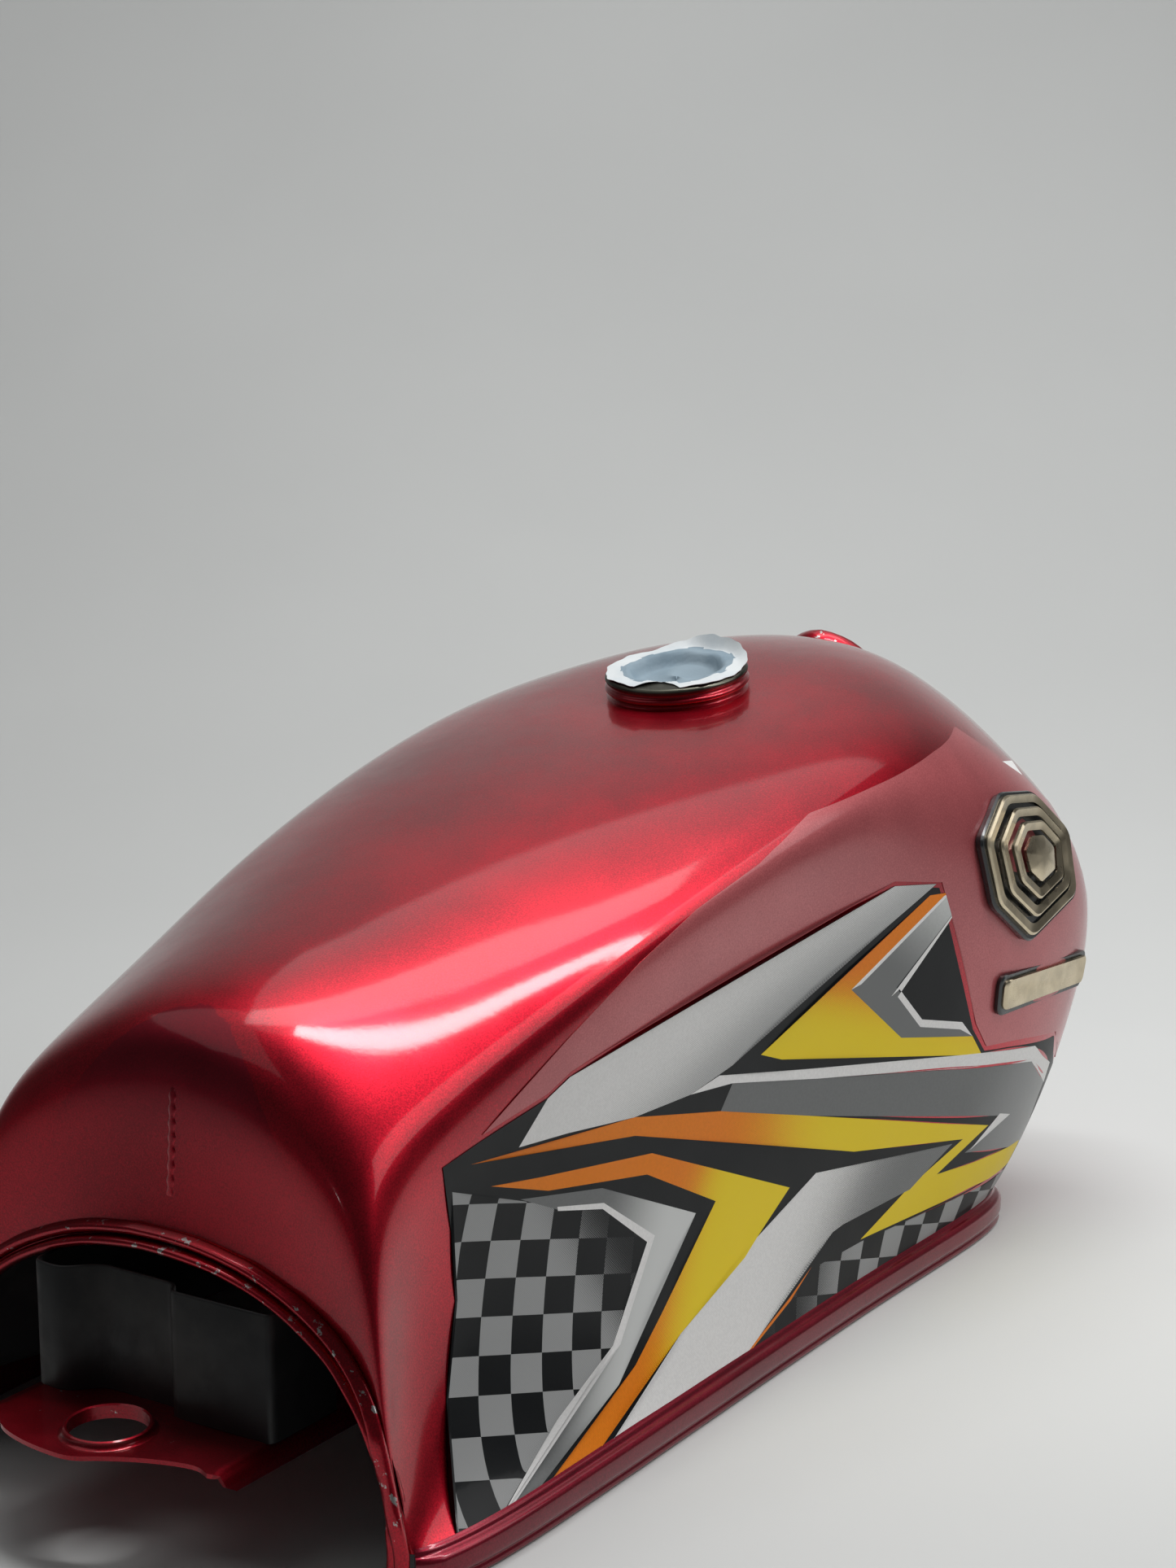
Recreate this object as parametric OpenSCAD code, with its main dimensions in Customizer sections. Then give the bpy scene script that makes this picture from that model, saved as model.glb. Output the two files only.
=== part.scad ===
// Pressed-steel motorcycle fuel tank with side decals, badges, filler neck and mounts.
// X runs forward, Y to the tank's left, Z up. The origin is the middle of the tank's footprint,
// on the plane that its bottom seam rests on. All sizes are in millimetres.

/* [Sheet metal] */
// Thickness of the pressed shell and of the tunnel pan
sheet_t = 1; // [0.8:0.1:1.2]
// Height of the rolled bottom seam
seam_h = 14; // [12:1:16]
// How far the rolled seam stands outside the shell
seam_out = 4.5; // [3:0.5:5]

/* [Filler] */
// Outer radius of the filler neck
neck_r = 30; // [28:0.5:31]
// Radius of the mouth that the cap's plug enters
mouth_r = 21; // [18:0.5:22]
// Backward lean of the neck's axis in degrees
neck_tilt = 9; // [6:1:12]
// Height of the neck above the shell
neck_h = 11; // [10:0.5:13]

/* [Mounts] */
// Radius of the collared hole for the rear rubber bush
rear_hole_r = 14; // [12:0.5:15]
// Outer radius of the petcock spigot
spigot_r = 8; // [7:0.5:9]
// Gap between the lips of each front channel
channel_gap = 24; // [20:1:26]

/* [Stickers and badges] */
// Thickness of the printed vinyl
vinyl_t = 0.3; // [0.2:0.1:0.4]
// Thickness of each badge's black base
badge_t = 3; // [2:0.5:4]

/* [Hidden] */

// ---- Control cage of the left half of the shell ----
// Each station is a line of nine cage points from the top centre line, over the shoulder and the
// ridge, through the knee hollow and down to the seam. Stations run from the rear arch's edge,
// up the tail, along the tank and round its front lobe to the front arch's edge.
CAGE = [
    // edge of the rear arch
    [[-223, 0, 95], [-223, 26, 95], [-223, 62, 84], [-226, 87, 66], [-228, 99, 47],
     [-228, 104, 34], [-228, 105, 26], [-229, 106, 19], [-229, 106, seam_h]],
    // rear face, just outside the arch
    [[-221, 0, 103], [-221, 26, 103], [-222, 66, 92], [-227, 92, 70], [-231, 100, 50],
     [-231, 104, 36], [-232, 107, 27], [-232, 109, 19], [-232, 110, seam_h]],
    // rear face
    [[-217, 0, 129], [-217, 26, 129], [-221, 68, 117], [-228, 92, 93], [-228, 98, 67],
     [-228, 101, 46], [-228, 105, 31], [-228, 109, 20], [-228, 113, seam_h]],
    // crest of the tail and rear corner
    [[-217, 0, 166], [-217, 24, 166], [-221, 63, 149], [-222, 89, 127], [-217, 92, 95],
     [-214, 93, 63], [-213, 99, 38], [-214, 107, 22], [-216, 116, seam_h]],
    [[-192, 0, 181], [-192, 26, 181], [-194, 63, 162], [-196, 87, 142], [-192, 86, 115],
     [-191, 87, 84], [-192, 94, 50], [-193, 106, 25], [-194, 119, seam_h]],
    // knee hollow
    [[-135, 0, 193], [-135, 32, 193], [-135, 69, 180], [-138, 94, 162], [-138, 90, 135],
     [-138, 90, 103], [-139, 97, 63], [-139, 108, 28], [-139, 119, seam_h]],
    [[-70, 0, 208], [-70, 38, 208], [-73, 78, 198], [-77, 104, 183], [-76, 97, 155],
     [-75, 95, 117], [-74, 101, 72], [-74, 110, 31], [-74, 118, seam_h]],
    [[-6, 0, 222], [-7, 42, 222], [-10, 84, 214], [-12, 112, 200], [-13, 104, 171],
     [-11, 100, 130], [-9, 104, 80], [-8, 111, 33], [-8, 117, seam_h]],
    // front half, where the sides swell
    [[58, 0, 233], [58, 44, 233], [54, 86, 228], [51, 116, 214], [52, 113, 185],
     [55, 110, 141], [57, 111, 86], [57, 114, 35], [58, 116, seam_h]],
    [[117, 0, 242], [117, 45, 242], [113, 84, 238], [114, 114, 224], [118, 124, 195],
     [121, 126, 150], [121, 124, 90], [117, 120, 37], [114, 117, seam_h]],
    [[168, 0, 252], [168, 42, 252], [170, 78, 243], [176, 109, 220], [187, 131, 190],
     [194, 139, 145], [190, 135, 92], [178, 126, 38], [165, 118, seam_h]],
    // front lobe
    [[208, 0, 251], [208, 36, 251], [216, 70, 234], [226, 98, 206], [244, 122, 176],
     [254, 136, 136], [245, 131, 89], [220, 122, 39], [194, 114, seam_h]],
    [[220, 0, 248], [221, 30, 248], [241, 62, 222], [255, 84, 194], [274, 101, 163],
     [281, 110, 125], [266, 109, 84], [234, 106, 40], [203, 101, seam_h]],
    [[224, 0, 246], [226, 26, 245], [248, 49, 219], [260, 62, 195], [274, 72, 160],
     [276, 77, 123], [263, 77, 83], [231, 77, 41], [203, 77, seam_h]],
    // edge of the front arch
    [[226, 0, 244], [228, 20, 243], [242, 37, 217], [251, 45, 190], [257, 50, 155],
     [255, 52, 119], [244, 53, 82], [220, 55, 40], [198, 57, seam_h]]
];

// Tunnel stations between the two arches: place along X, height of its roof and half its width
TUNNEL = [
    [-216, 94, 96], [-206, 94, 91], [-192, 95, 84], [-166, 98, 75], [-122, 103, 66],
    [-70, 109, 60], [-10, 118, 56], [50, 132, 52], [104, 152, 50], [150, 178, 48],
    [188, 206, 47], [208, 226, 47], [218, 238, 48]
];

// ---- Clamped cubic B-spline over a cage ----
function knot(i, n) = min(max(i - 3, 0), n - 3);
function ramp(t, a, b) = b > a ? (t - a) / (b - a) : 0;
function weight(i, d, t, n) =
    d == 0
    ? (t >= knot(i, n) && t < knot(i + 1, n) ? 1 : 0)
    : ramp(t, knot(i, n), knot(i + d, n)) * weight(i, d - 1, t, n)
      + (1 - ramp(t, knot(i + 1, n), knot(i + d + 1, n))) * weight(i + 1, d - 1, t, n);
// One row of weights for each of the fractions, which run from 0 to 1 along n cage points
function weights(n, fractions) =
    [for (f = fractions) [for (i = [0 : n - 1]) weight(i, 3, min(f, 0.999999) * (n - 3), n)]];
function steps(a, b, count) = [for (i = [0 : count]) a + (b - a) * i / count];
function turned(m) = [for (j = [0 : len(m[0]) - 1]) [for (i = [0 : len(m) - 1]) m[i][j]]];
function axis_of(cage, k) = [for (s = cage) [for (p = s) p[k]]];
function sheet(cage, us, vs) =
    let (wu = weights(len(cage), us))
    let (wv = turned(weights(len(cage[0]), vs)))
    let (x = wu * axis_of(cage, 0) * wv)
    let (y = wu * axis_of(cage, 1) * wv)
    let (z = wu * axis_of(cage, 2) * wv)
    [for (i = [0 : len(us) - 1]) [for (j = [0 : len(vs) - 1]) [x[i][j], y[i][j], z[i][j]]]];

function unit(v) = v / norm(v);
function clip(i, n) = min(max(i, 0), n - 1);
function mirrored(p) = [p.x, -p.y, p.z];
// Outward normal of a left-hand sheet; its first row lies on the centre plane when centred is true
function normal(g, i, j, centred) =
    let (along = g[clip(i + 1, len(g))][j] - g[clip(i - 1, len(g))][j])
    let (next = g[i][clip(j + 1, len(g[0]))])
    let (last = centred && j == 0 ? mirrored(next) : g[i][clip(j - 1, len(g[0]))])
    unit(cross(along, next - last));
// A copy of the sheet moved along its normals; rows on the centre plane stay there
function raised(g, d, centred = false) =
    [for (i = [0 : len(g) - 1])
        [for (j = [0 : len(g[0]) - 1])
            let (p = g[i][j] + d * normal(g, i, j, centred))
            centred && j == 0 ? [p.x, 0, p.z] : p]];

// A closed solid between two matching grids of points; outer is on the side the normals face
module slab(outer, inner) {
    nu = len(outer);
    nv = len(outer[0]);
    points = concat([for (r = outer) each r], [for (r = inner) each r]);
    function at(i, j, layer) = layer * nu * nv + i * nv + j;
    function quad(a, b, c, d) = [[a, b, c], [a, c, d]];
    faces = concat(
        [for (i = [0 : nu - 2]) for (j = [0 : nv - 2])
            each quad(at(i, j, 0), at(i, j + 1, 0), at(i + 1, j + 1, 0), at(i + 1, j, 0))],
        [for (i = [0 : nu - 2]) for (j = [0 : nv - 2])
            each quad(at(i, j, 1), at(i + 1, j, 1), at(i + 1, j + 1, 1), at(i, j + 1, 1))],
        [for (i = [0 : nu - 2])
            each quad(at(i, 0, 0), at(i + 1, 0, 0), at(i + 1, 0, 1), at(i, 0, 1))],
        [for (i = [0 : nu - 2])
            each quad(at(i, nv - 1, 0), at(i, nv - 1, 1), at(i + 1, nv - 1, 1), at(i + 1, nv - 1, 0))],
        [for (j = [0 : nv - 2])
            each quad(at(0, j, 0), at(0, j, 1), at(0, j + 1, 1), at(0, j + 1, 0))],
        [for (j = [0 : nv - 2])
            each quad(at(nu - 1, j, 0), at(nu - 1, j + 1, 0), at(nu - 1, j + 1, 1), at(nu - 1, j, 1))]
    );
    polyhedron(points = points, faces = faces);
}

// A closed tube through rings of points
module tube(rings) {
    n = len(rings[0]);
    last = len(rings) - 1;
    points = [for (r = rings) each r];
    sides = [for (i = [0 : last - 1]) for (j = [0 : n - 1])
        let (k = (j + 1) % n)
        each [[i * n + j, i * n + k, (i + 1) * n + k], [i * n + j, (i + 1) * n + k, (i + 1) * n + j]]];
    start = [for (j = [1 : n - 2]) [0, j + 1, j]];
    end = [for (j = [1 : n - 2]) [last * n, last * n + j, last * n + j + 1]];
    polyhedron(points = points, faces = concat(sides, start, end));
}

// ---- Shared grids ----
U_STEPS = 36;
V_STEPS = 22;
SKIN = sheet(CAGE, steps(0, 1, U_STEPS), steps(0, 1, V_STEPS));

function between(a, b, f) = a + (b - a) * f;
// Cage of the tunnel pan: it shares its edges with the shell's cage
function pan_station(i) =
    let (s = TUNNEL[i - 1], x = s[0], h = s[1], w = s[2])
    let (inner = [x, w + 4, 26])
    let (seam = CAGE[i][8])
    let (flat = [seam.x, seam.y, 18])
    [
        [x, 0, h], [x, 0.42 * w, h], [x, 0.78 * w, 0.86 * h], [x, 0.96 * w, 0.62 * h],
        [x, w, 0.4 * h], inner, between(inner, flat, 0.45), between(inner, flat, 0.8), seam
    ];
PAN_CAGE = concat([CAGE[0]], [for (i = [1 : 13]) pan_station(i)], [CAGE[14]]);
PAN = sheet(PAN_CAGE, steps(0, 1, 28), steps(0, 1, 18));

// ---- Shell ----
module skin_half() {
    slab(SKIN, raised(SKIN, -sheet_t, true));
}

// Where the neck stands: its axis crosses the shell at this point
neck_foot = [108, 0, 239];
module at_neck() {
    translate(neck_foot) rotate([0, -neck_tilt, 0]) children();
}
neck_bore_r = neck_r - 3;
module neck_hole() {
    at_neck() translate([0, 0, -20]) cylinder(r = neck_r - 1, h = 40, $fn = 64);
}

module skin_left() {
    color([0.55, 0.02, 0.06])
        difference() {
            skin_half();
            neck_hole();
        }
}
module skin_right() {
    mirror([0, 1, 0]) skin_left();
}

// Half-round bead where the two halves meet below the tail's crest
module tail_weld() {
    bead_w = 2.5;
    bead_h = 1.2;
    line = [for (i = [2 : 6]) [SKIN[i][0], normal(SKIN, i, 0, true)]];
    color([0.5, 0.02, 0.06])
        tube([for (s = line)
            [for (a = [0 : 30 : 180])
                s[0] + [0, bead_w * cos(a), 0] + s[1] * bead_h * (0.1 + sin(a))]]);
}

// ---- Underside ----
module tunnel_pan_half() {
    slab(raised(PAN, 0, true), raised(PAN, -sheet_t, true));
}
module tunnel_pan() {
    color([0.06, 0.06, 0.065]) {
        tunnel_pan_half();
        mirror([0, 1, 0]) tunnel_pan_half();
    }
}

// Outline of the rolled seam: how far out and how high, going round it
SEAM_OUTLINE = [
    [-1.2, seam_h], [0.4, seam_h], [seam_out * 0.55, seam_h - 0.8], [seam_out, seam_h - 3.5],
    [seam_out, 5], [seam_out - 1.2, 3.6], [seam_out - 0.6, 1.4], [seam_out - 1.6, 0], [-1.2, 0]
];
function flat_out(g, i) =
    let (j = len(g[0]) - 1)
    let (along = g[clip(i + 1, len(g))][j] - g[clip(i - 1, len(g))][j])
    unit([-along.y, along.x, 0]);
module seam_roll_left() {
    rings = [for (i = [2 : U_STEPS - 1])
        let (p = SKIN[i][V_STEPS], out = flat_out(SKIN, i))
        [for (s = SEAM_OUTLINE) [p.x + out.x * s[0], p.y + out.y * s[0], s[1]]]];
    color([0.45, 0.02, 0.06]) tube(rings);
}
module seam_roll_right() {
    mirror([0, 1, 0]) seam_roll_left();
}

// An arch's edge from the centre to the floor: point, direction away from the opening, facing
function arch_edge(i) =
    let (edge = [for (j = [0 : V_STEPS]) [SKIN[i][j], normal(SKIN, i, j, true)]])
    let (step = i == 0 ? 1 : -1)
    let (lines = [for (j = [0 : V_STEPS])
        [edge[j][0], unit(SKIN[i + step][j] - SKIN[i][j]), edge[j][1]]])
    let (foot = lines[V_STEPS])
    let (level = unit([foot[2].x, foot[2].y, 0]))
    concat(lines, [[[foot[0].x, foot[0].y, 0], [0, foot[1].y > 0 ? 1 : -1, 0], level]]);
module arch_flange(i, outline) {
    half = arch_edge(i);
    n = len(half) - 1;
    function flip(s) = [mirrored(s[0]), mirrored(s[1]), mirrored(s[2])];
    whole = concat([for (j = [n : -1 : 1]) flip(half[j])], half);
    rings = [for (s = whole) [for (o = outline) s[0] + s[1] * o[0] + s[2] * o[1]]];
    tube(rings);
}
// Two rolled lips side by side: the shell's and the pan's
module rear_arch_flange() {
    lips = [
        [6.5, 0.2], [6.3, 2.2], [4.6, 4.6], [2.8, 4.4], [1.8, 2.8], [0.6, 3.2],
        [-0.4, 5.6], [-2, 5.4], [-2.6, 3], [-2, -1.2]
    ];
    color([0.5, 0.02, 0.06]) arch_flange(0, lips);
}
module front_arch_flange() {
    lip = [[-1, -1.2], [2, 0.2], [2.4, 4], [1.2, 7.4], [-0.4, 8], [-1.4, 7], [-1, 4], [-2.4, 1]];
    color([0.5, 0.02, 0.06]) arch_flange(U_STEPS, [for (k = [7 : -1 : 0]) lip[k]]);
}

// ---- Rear bracket ----
plate_z = 36;
plate_t = 1.6;
bracket_half = 53;
bracket_front = -168;
hole_at = [-252, 2, plate_z];

// Pleated black sheet that stands on the plate inside the arch
module rear_stay() {
    sheet_thick = 1.6;
    stay_h = 46;
    back = -196;
    line = [
        [back, -bracket_half], [-229, -bracket_half], [-231, 1 - bracket_half], [-232, -8],
        [-226, -5], [-226, 28], [-237, 38], [-236, bracket_half], [back, bracket_half]
    ];
    color([0.07, 0.07, 0.075])
        difference() {
            translate([0, 0, plate_z + plate_t]) linear_extrude(height = stay_h) polygon(line);
            translate([0, 0, plate_z]) linear_extrude(height = stay_h + 4)
                offset(delta = -sheet_thick) polygon(line);
            translate([back - 3, -bracket_half - 1, plate_z])
                cube([10, 2 * bracket_half + 2, stay_h + 4]);
            translate([-230, -1, 67]) rotate([0, 90, 0]) cylinder(r = 3, h = 10, $fn = 32);
        }
}

// Red plate with a wavy rear edge, down-turned sides and the collared hole for the rear bush
module rear_mount_plate() {
    collar_h = 3;
    collar_t = 1.6;
    side_h = 8;
    side_back = -256;
    wave = [
        [bracket_front, -bracket_half], [-259, -bracket_half], [-257, -40], [-262, -23],
        [-268, -11], [-274, -2], [-275, 7], [-273, 22], [-269, 35], [-262, 46],
        [-258, bracket_half], [bracket_front, bracket_half]
    ];
    color([0.5, 0.02, 0.06])
        difference() {
            union() {
                translate([0, 0, plate_z]) linear_extrude(height = plate_t) polygon(wave);
                for (side = [-1, 1])
                    translate([side_back, side * (bracket_half - plate_t / 2) - plate_t / 2,
                               plate_z - side_h])
                        cube([bracket_front - side_back, plate_t, side_h + plate_t / 2]);
                translate(hole_at)
                    cylinder(r = rear_hole_r + collar_t, h = plate_t + collar_h, $fn = 64);
            }
            translate(hole_at - [0, 0, 1]) cylinder(r = rear_hole_r, h = 12, $fn = 64);
        }
}

// ---- Front mounts: channels in the tunnel that slide over the frame's rubber pads ----
channel_x = 120;
channel_l = 44;
channel_d = 14;
channel_z = 58;
module front_channel_left() {
    t = 2;
    wall_y = 46.5;
    color([0.08, 0.08, 0.085])
        translate([channel_x, wall_y - channel_d - t, channel_z])
            difference() {
                cube([channel_l, channel_d + t, channel_gap + 2 * t]);
                translate([t, -1, t]) cube([channel_l, channel_d + 1, channel_gap]);
            }
}
module front_channel_right() {
    mirror([0, 1, 0]) front_channel_left();
}

// ---- Filler ----
neck_below = 8;
module filler_neck() {
    profile = [
        [neck_bore_r, -neck_below], [neck_r - 1, -neck_below], [neck_r - 1, -3],
        [neck_r + 2.5, -3], [neck_r + 2, 0.5], [neck_r - 0.4, 1.6], [neck_r - 1, 3.2],
        [neck_r + 0.6, 4.4], [neck_r + 0.8, 5.6], [neck_r - 0.6, 6.6], [neck_r - 0.6, neck_h - 2],
        [neck_bore_r, neck_h - 2]
    ];
    color([0.5, 0.02, 0.06])
        at_neck() rotate_extrude($fn = 96) polygon(profile);
}
// Turned-over rim that the cap's gasket seals on; its mouth is the cap's bore
module filler_rim() {
    color([0.1, 0.1, 0.07])
        at_neck() rotate_extrude($fn = 96)
            polygon([
                [mouth_r, neck_h - 4], [mouth_r + 1.2, neck_h - 4], [mouth_r + 1.2, neck_h - 2],
                [neck_r - 0.2, neck_h - 2], [neck_r + 0.6, neck_h - 1], [neck_r - 0.2, neck_h],
                [mouth_r, neck_h]
            ]);
}
// Ring with two notches that the cap's ears drop through and turn under
module filler_cam_ring() {
    notch_w = 9;
    color([0.4, 0.4, 0.38])
        at_neck() difference() {
            translate([0, 0, neck_h - 7]) cylinder(r = neck_bore_r - 0.1, h = 1.5, $fn = 96);
            translate([0, 0, neck_h - 8]) cylinder(r = mouth_r + 1, h = 4, $fn = 96);
            translate([-neck_bore_r + 1.5, -notch_w / 2, neck_h - 8])
                cube([2 * neck_bore_r - 3, notch_w, 4]);
        }
}
// Torn paper ring stuck over the mouth
seal_gap = 0.3;
module paper_seal() {
    color([0.93, 0.94, 0.95])
        at_neck() difference() {
            translate([0, 0, neck_h + seal_gap]) cylinder(r = neck_r - 0.5, h = 0.8, $fn = 96);
            translate([0, 0, neck_h]) cylinder(r = mouth_r + 1.5, h = 3, $fn = 96);
        }
}

// Threaded spigot under the left lobe for the petcock
spigot_at = [-58, 88, 6];
module petcock_spigot() {
    len_out = 12;
    color([0.7, 0.62, 0.4])
        translate(spigot_at) difference() {
            union() {
                cylinder(r = spigot_r, h = len_out, $fn = 64);
                translate([0, 0, len_out]) cylinder(r = spigot_r + 4, h = 2, $fn = 64);
            }
            translate([0, 0, -1]) cylinder(r = spigot_r - 3, h = len_out + 4, $fn = 64);
        }
}

// ---- Stickers: patches of the shell's own grid, raised by the vinyl's thickness ----
function part_of(g, i0, i1, j0, j1) = [for (i = [i0 : i1]) [for (j = [j0 : j1]) g[i][j]]];
module patch(i0, i1, j0, j1, low, high) {
    top = raised(SKIN, high, true);
    bottom = raised(SKIN, low, true);
    slab(part_of(top, i0, i1, j0, j1), part_of(bottom, i0, i1, j0, j1));
}
module decal_left() {
    color([0.75, 0.75, 0.76]) patch(7, 29, 11, 21, 0.02, vinyl_t);
}
module decal_right() {
    mirror([0, 1, 0]) decal_left();
}
module clear_film_left() {
    color([0.6, 0.1, 0.13]) patch(17, 29, 8, 10, 0.02, vinyl_t * 0.6);
}
module clear_film_right() {
    mirror([0, 1, 0]) clear_film_left();
}

// ---- Badges: plates that follow the shell, a six-sided shield above a blank bar ----
// Places along and across the shell, as fractions of its cage
badge_u = [0.69, 0.8];
badge_v = 0.575;
badge_half_v = 0.125;
bar_u = [0.705, 0.815];
bar_v = [0.735, 0.785];
function shield(shrink, lift) =
    [for (s = steps(0, 1, 10))
        let (u = between(badge_u[0] + shrink, badge_u[1] - shrink, s))
        let (half = (badge_half_v - 1.3 * shrink) * min(1, 0.5 + 1.6 * min(s, 1 - s)))
        let (g = sheet(CAGE, [u - 0.005, u, u + 0.005], steps(badge_v - half, badge_v + half, 6)))
        [for (j = [0 : 6]) g[1][j] + lift * normal(g, 1, j, false)]];
module shield_plate(shrink, low, high) {
    slab(shield(shrink, high), shield(shrink, low));
}
module bar_plate(low, high) {
    g = sheet(CAGE, steps(bar_u[0], bar_u[1], 8), steps(bar_v[0], bar_v[1], 3));
    slab(raised(g, high), raised(g, low));
}
module badge_pad_left() {
    color([0.1, 0.1, 0.1]) shield_plate(0.008, 0.4, 1.2);
}
module badge_base_left() {
    color([0.03, 0.04, 0.04]) shield_plate(0, 1.3, 1.3 + badge_t);
}
module badge_face_left() {
    color([0.6, 0.53, 0.4]) shield_plate(0.006, 1.4 + badge_t, 3.2 + badge_t);
}
module badge_bar_left() {
    color([0.6, 0.53, 0.4]) bar_plate(0.5, badge_t + 1);
}
module badge_pad_right() {
    mirror([0, 1, 0]) badge_pad_left();
}
module badge_base_right() {
    mirror([0, 1, 0]) badge_base_left();
}
module badge_face_right() {
    mirror([0, 1, 0]) badge_face_left();
}
module badge_bar_right() {
    mirror([0, 1, 0]) badge_bar_left();
}

skin_left();
skin_right();
tail_weld();
tunnel_pan();
seam_roll_left();
seam_roll_right();
rear_arch_flange();
front_arch_flange();
rear_stay();
rear_mount_plate();
front_channel_left();
front_channel_right();
filler_neck();
filler_rim();
filler_cam_ring();
paper_seal();
petcock_spigot();
decal_left();
decal_right();
clear_film_left();
clear_film_right();
badge_pad_left();
badge_pad_right();
badge_base_left();
badge_base_right();
badge_face_left();
badge_face_right();
badge_bar_left();
badge_bar_right();
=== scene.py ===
"""A motorcycle fuel tank: pressed shell in candy red, printed side decals, blank badges, a filler neck
with a torn paper seal, rolled seams, welded arch lips and a bracket inside the rear arch.

X runs forwards, Y to the tank's left and Z up. Points below are in millimetres; MM turns them to metres.
"""
import math

import bpy
import numpy as np
from mathutils import Matrix, Vector
from mathutils.bvhtree import BVHTree
from mathutils.geometry import delaunay_2d_cdt


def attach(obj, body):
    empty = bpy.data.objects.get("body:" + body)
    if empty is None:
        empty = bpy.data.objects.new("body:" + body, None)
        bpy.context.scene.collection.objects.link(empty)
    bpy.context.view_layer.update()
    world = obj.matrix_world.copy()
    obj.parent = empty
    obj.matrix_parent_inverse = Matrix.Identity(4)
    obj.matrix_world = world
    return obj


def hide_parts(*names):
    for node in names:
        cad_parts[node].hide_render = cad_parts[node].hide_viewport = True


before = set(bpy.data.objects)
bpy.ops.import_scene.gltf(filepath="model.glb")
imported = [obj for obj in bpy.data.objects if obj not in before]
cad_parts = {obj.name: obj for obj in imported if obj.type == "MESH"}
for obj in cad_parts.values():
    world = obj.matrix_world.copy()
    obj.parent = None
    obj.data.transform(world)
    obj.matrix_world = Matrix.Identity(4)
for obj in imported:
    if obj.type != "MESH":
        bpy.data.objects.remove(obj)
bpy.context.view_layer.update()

MM = 0.001
SEAM_H = 14
SHEET_T = 1.0
VINYL_T = 0.3
LEFT, RIGHT = 1, -1
SIDES = {"left": LEFT, "right": RIGHT}

# ---------------------------------------------------------------- shape of the shell
# Control cage of the left half: each station runs from the top centre line, over the shoulder and
# the ridge and through the knee hollow to the seam; stations run from the rear arch to the front arch.
# A scratch program fitted these numbers to the photo's outlines; some were then changed by hand.
CAGE = np.array([
    [[-223, 0, 95], [-223, 26, 95], [-223, 62, 84], [-226, 87, 66], [-228, 99, 47],
     [-228, 104, 34], [-228, 105, 26], [-229, 106, 19], [-229, 106, SEAM_H]],
    [[-221, 0, 103], [-221, 26, 103], [-222, 66, 92], [-227, 92, 70], [-231, 100, 50],
     [-231, 104, 36], [-232, 107, 27], [-232, 109, 19], [-232, 110, SEAM_H]],
    [[-217, 0, 129], [-217, 26, 129], [-221, 68, 117], [-228, 92, 93], [-228, 98, 67],
     [-228, 101, 46], [-228, 105, 31], [-228, 109, 20], [-228, 113, SEAM_H]],
    [[-217, 0, 166], [-217, 24, 166], [-221, 63, 149], [-222, 89, 127], [-217, 92, 95],
     [-214, 93, 63], [-213, 99, 38], [-214, 107, 22], [-216, 116, SEAM_H]],
    [[-192, 0, 181], [-192, 26, 181], [-194, 63, 162], [-196, 87, 142], [-192, 86, 115],
     [-191, 87, 84], [-192, 94, 50], [-193, 106, 25], [-194, 119, SEAM_H]],
    [[-135, 0, 193], [-135, 32, 193], [-135, 69, 180], [-138, 94, 162], [-138, 90, 135],
     [-138, 90, 103], [-139, 97, 63], [-139, 108, 28], [-139, 119, SEAM_H]],
    [[-70, 0, 208], [-70, 38, 208], [-73, 78, 198], [-77, 104, 183], [-76, 97, 155],
     [-75, 95, 117], [-74, 101, 72], [-74, 110, 31], [-74, 118, SEAM_H]],
    [[-6, 0, 222], [-7, 42, 222], [-10, 84, 214], [-12, 112, 200], [-13, 104, 171],
     [-11, 100, 130], [-9, 104, 80], [-8, 111, 33], [-8, 117, SEAM_H]],
    [[58, 0, 233], [58, 44, 233], [54, 86, 228], [51, 116, 214], [52, 113, 185],
     [55, 110, 141], [57, 111, 86], [57, 114, 35], [58, 116, SEAM_H]],
    [[117, 0, 242], [117, 45, 242], [113, 84, 238], [114, 114, 224], [118, 124, 195],
     [121, 126, 150], [121, 124, 90], [117, 120, 37], [114, 117, SEAM_H]],
    [[168, 0, 252], [168, 42, 252], [170, 78, 243], [176, 109, 220], [187, 131, 190],
     [194, 139, 145], [190, 135, 92], [178, 126, 38], [165, 118, SEAM_H]],
    [[208, 0, 251], [208, 36, 251], [216, 70, 234], [226, 98, 206], [244, 122, 176],
     [254, 136, 136], [245, 131, 89], [220, 122, 39], [194, 114, SEAM_H]],
    [[220, 0, 248], [221, 30, 248], [241, 62, 222], [255, 84, 194], [274, 101, 163],
     [281, 110, 125], [266, 109, 84], [234, 106, 40], [203, 101, SEAM_H]],
    [[224, 0, 246], [226, 26, 245], [248, 49, 219], [260, 62, 195], [274, 72, 160],
     [276, 77, 123], [263, 77, 83], [231, 77, 41], [203, 77, SEAM_H]],
    [[226, 0, 244], [228, 20, 243], [242, 37, 217], [251, 45, 190], [257, 50, 155],
     [255, 52, 119], [244, 53, 82], [220, 55, 40], [198, 57, SEAM_H]],
], float)

# Tunnel stations between the arches: place along X, height of the roof, half the width
TUNNEL = [
    [-216, 94, 96], [-206, 94, 91], [-192, 95, 84], [-166, 98, 75], [-122, 103, 66],
    [-70, 109, 60], [-10, 118, 56], [50, 132, 52], [104, 152, 50], [150, 178, 48],
    [188, 206, 47], [208, 226, 47], [218, 238, 48],
]


def ramp(t, a, b):
    return (t - a) / (b - a) if b > a else np.zeros_like(t)


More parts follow.
